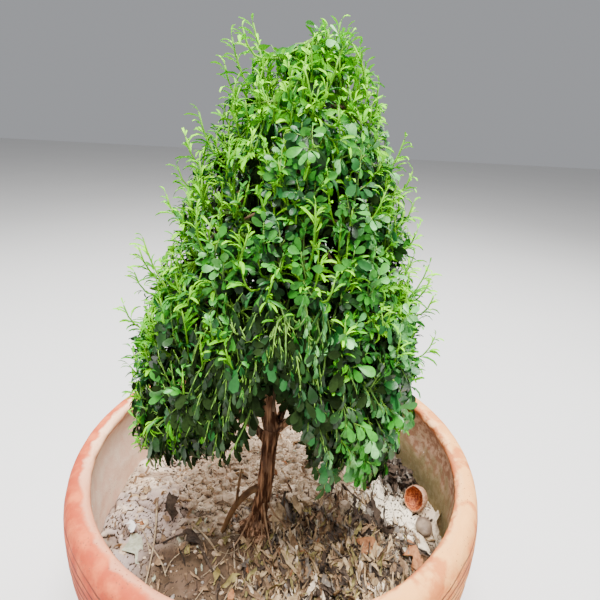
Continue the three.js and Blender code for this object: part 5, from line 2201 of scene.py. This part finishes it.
        stalk, _, _ = stalk_at(np.linspace(0.0, 1.0, 3)[None])
        self.stalks.add(stalk, 0.36, 0.24)
        number = np.arange(cut.leaflets)
        shares = (number + 1.2) / (cut.leaflets + 0.2)
        place, ahead, lift = stalk_at(shares[None])
        beside = np.cross(ahead, lift)
        last = number == cut.leaflets - 1
        sign = np.where(number % 2 == 0, 1.0, -1.0)
        splay = np.where(last, 0.0, cut.splay * sign) + rng.normal(0.0, 0.2, (count, cut.leaflets))
        leaf_way = ahead * np.cos(splay)[..., None] + beside * np.sin(splay)[..., None]
        leaf_way = leaf_way - [0.0, 0.0, cut.droop]
        size = cut.leaf * growth[:, None] * np.where(last, 1.12, 0.74 + 0.09 * number)
        size = size * rng.uniform(0.78, 1.22, size.shape)
        facing = lift + rng.normal(0.0, 0.25, lift.shape)
        self.leaves.setdefault((tone, cut.blade), Leaves(cut.blade.value)).add(
            base=place.reshape(-1, 3),
            along=leaf_way.reshape(-1, 3),
            normal=facing.reshape(-1, 3),
            length=size.ravel(),
            width=(size * cut.share * rng.uniform(0.85, 1.15, size.shape)).ravel(),
            fold=np.abs(rng.normal(cut.fold, 0.12, size.size)),
            bend=rng.normal(cut.bend, 0.3, size.size),
            twist=rng.normal(0.0, 0.25, size.size),
        )


@dataclass
class Studio:
    """The plain pale floor, the soft lights, and the camera at the photo's angle."""

    eye: Triple = (15.8, -385.8, 570.3)
    pitch: float = 22.5
    roll: float = 3.0
    lens: float = 28.0

    def build(self) -> None:
        """Makes the camera, the floor and the lights."""
        self.camera()
        self.floor()
        self.light("key", (0.05, -0.45, 2.2), 174.0, 1.1)
        self.light("back_right", (0.9, 1.0, 1.5), 24.0, 1.0)
        self.light("back_left", (-1.0, 0.8, 1.4), 16.0, 1.0)
        self.light("fill", (-0.8, -1.6, 1.2), 8.0, 1.4)
        world = bpy.data.worlds.new("studio")
        world.use_nodes = True
        background = world.node_tree.nodes["Background"]
        background.inputs["Color"].default_value = (0.93, 0.95, 1.0, 1.0)
        background.inputs["Strength"].default_value = 0.38
        bpy.context.scene.world = world

    def camera(self) -> None:
        """Sets the camera by its pitch below the horizon and its roll."""
        camera = bpy.data.cameras.new("camera")
        camera.lens = self.lens
        camera.sensor_width = 36.0
        camera.clip_start = 0.02
        holder = bpy.data.objects.new("camera", camera)
        bpy.context.scene.collection.objects.link(holder)
        aim = Matrix.Rotation(math.radians(90.0 - self.pitch), 4, "X")
        aim = aim @ Matrix.Rotation(math.radians(self.roll), 4, "Z")
        holder.matrix_world = Matrix.Translation(Vector(self.eye) * MM) @ aim
        bpy.context.scene.camera = holder

    @staticmethod
    def floor() -> None:
        """A wide pale floor."""
        bm = bmesh.new()
        bmesh.ops.create_grid(bm, x_segments=2, y_segments=2, size=6.0)
        mesh = bpy.data.meshes.new("floor")
        bm.to_mesh(mesh)
        bm.free()
        nodes = Nodes("floor", 0.7, 0.2)
        nodes.colour(nodes.mix(nodes.noise(3.0, 2.0), (0.74, 0.73, 0.71), (0.78, 0.77, 0.75)))
        mesh.materials.append(nodes.material)
        floor = bpy.data.objects.new("floor", mesh)
        bpy.context.scene.collection.objects.link(floor)

    @staticmethod
    def light(name: str, place: Triple, power: float, size: float) -> None:
        """A square soft light that faces the crown.

        Args:
            name: The light's name.
            place: Its place in metres.
            power: Its power in watts.
            size: Its side in metres.
        """
        lamp = bpy.data.lights.new(name, "AREA")
        lamp.energy = power
        lamp.size = size
        holder = bpy.data.objects.new(name, lamp)
        bpy.context.scene.collection.objects.link(holder)
        holder.location = place
        towards = Vector((0.0, 0.0, 0.3)) - Vector(place)
        holder.rotation_euler = towards.to_track_quat("-Z", "Y").to_euler()


def main() -> None:
    """Builds the pot, the soil, the wood, the foliage and the studio, each piece logging its triangles.
    """
    logging.basicConfig(level=logging.INFO, format="%(message)s")
    Studio().build()
    Pot().build()
    Soil().build()
    Bark().build()
    Foliage().build()


if __name__ == "__main__":
    main()
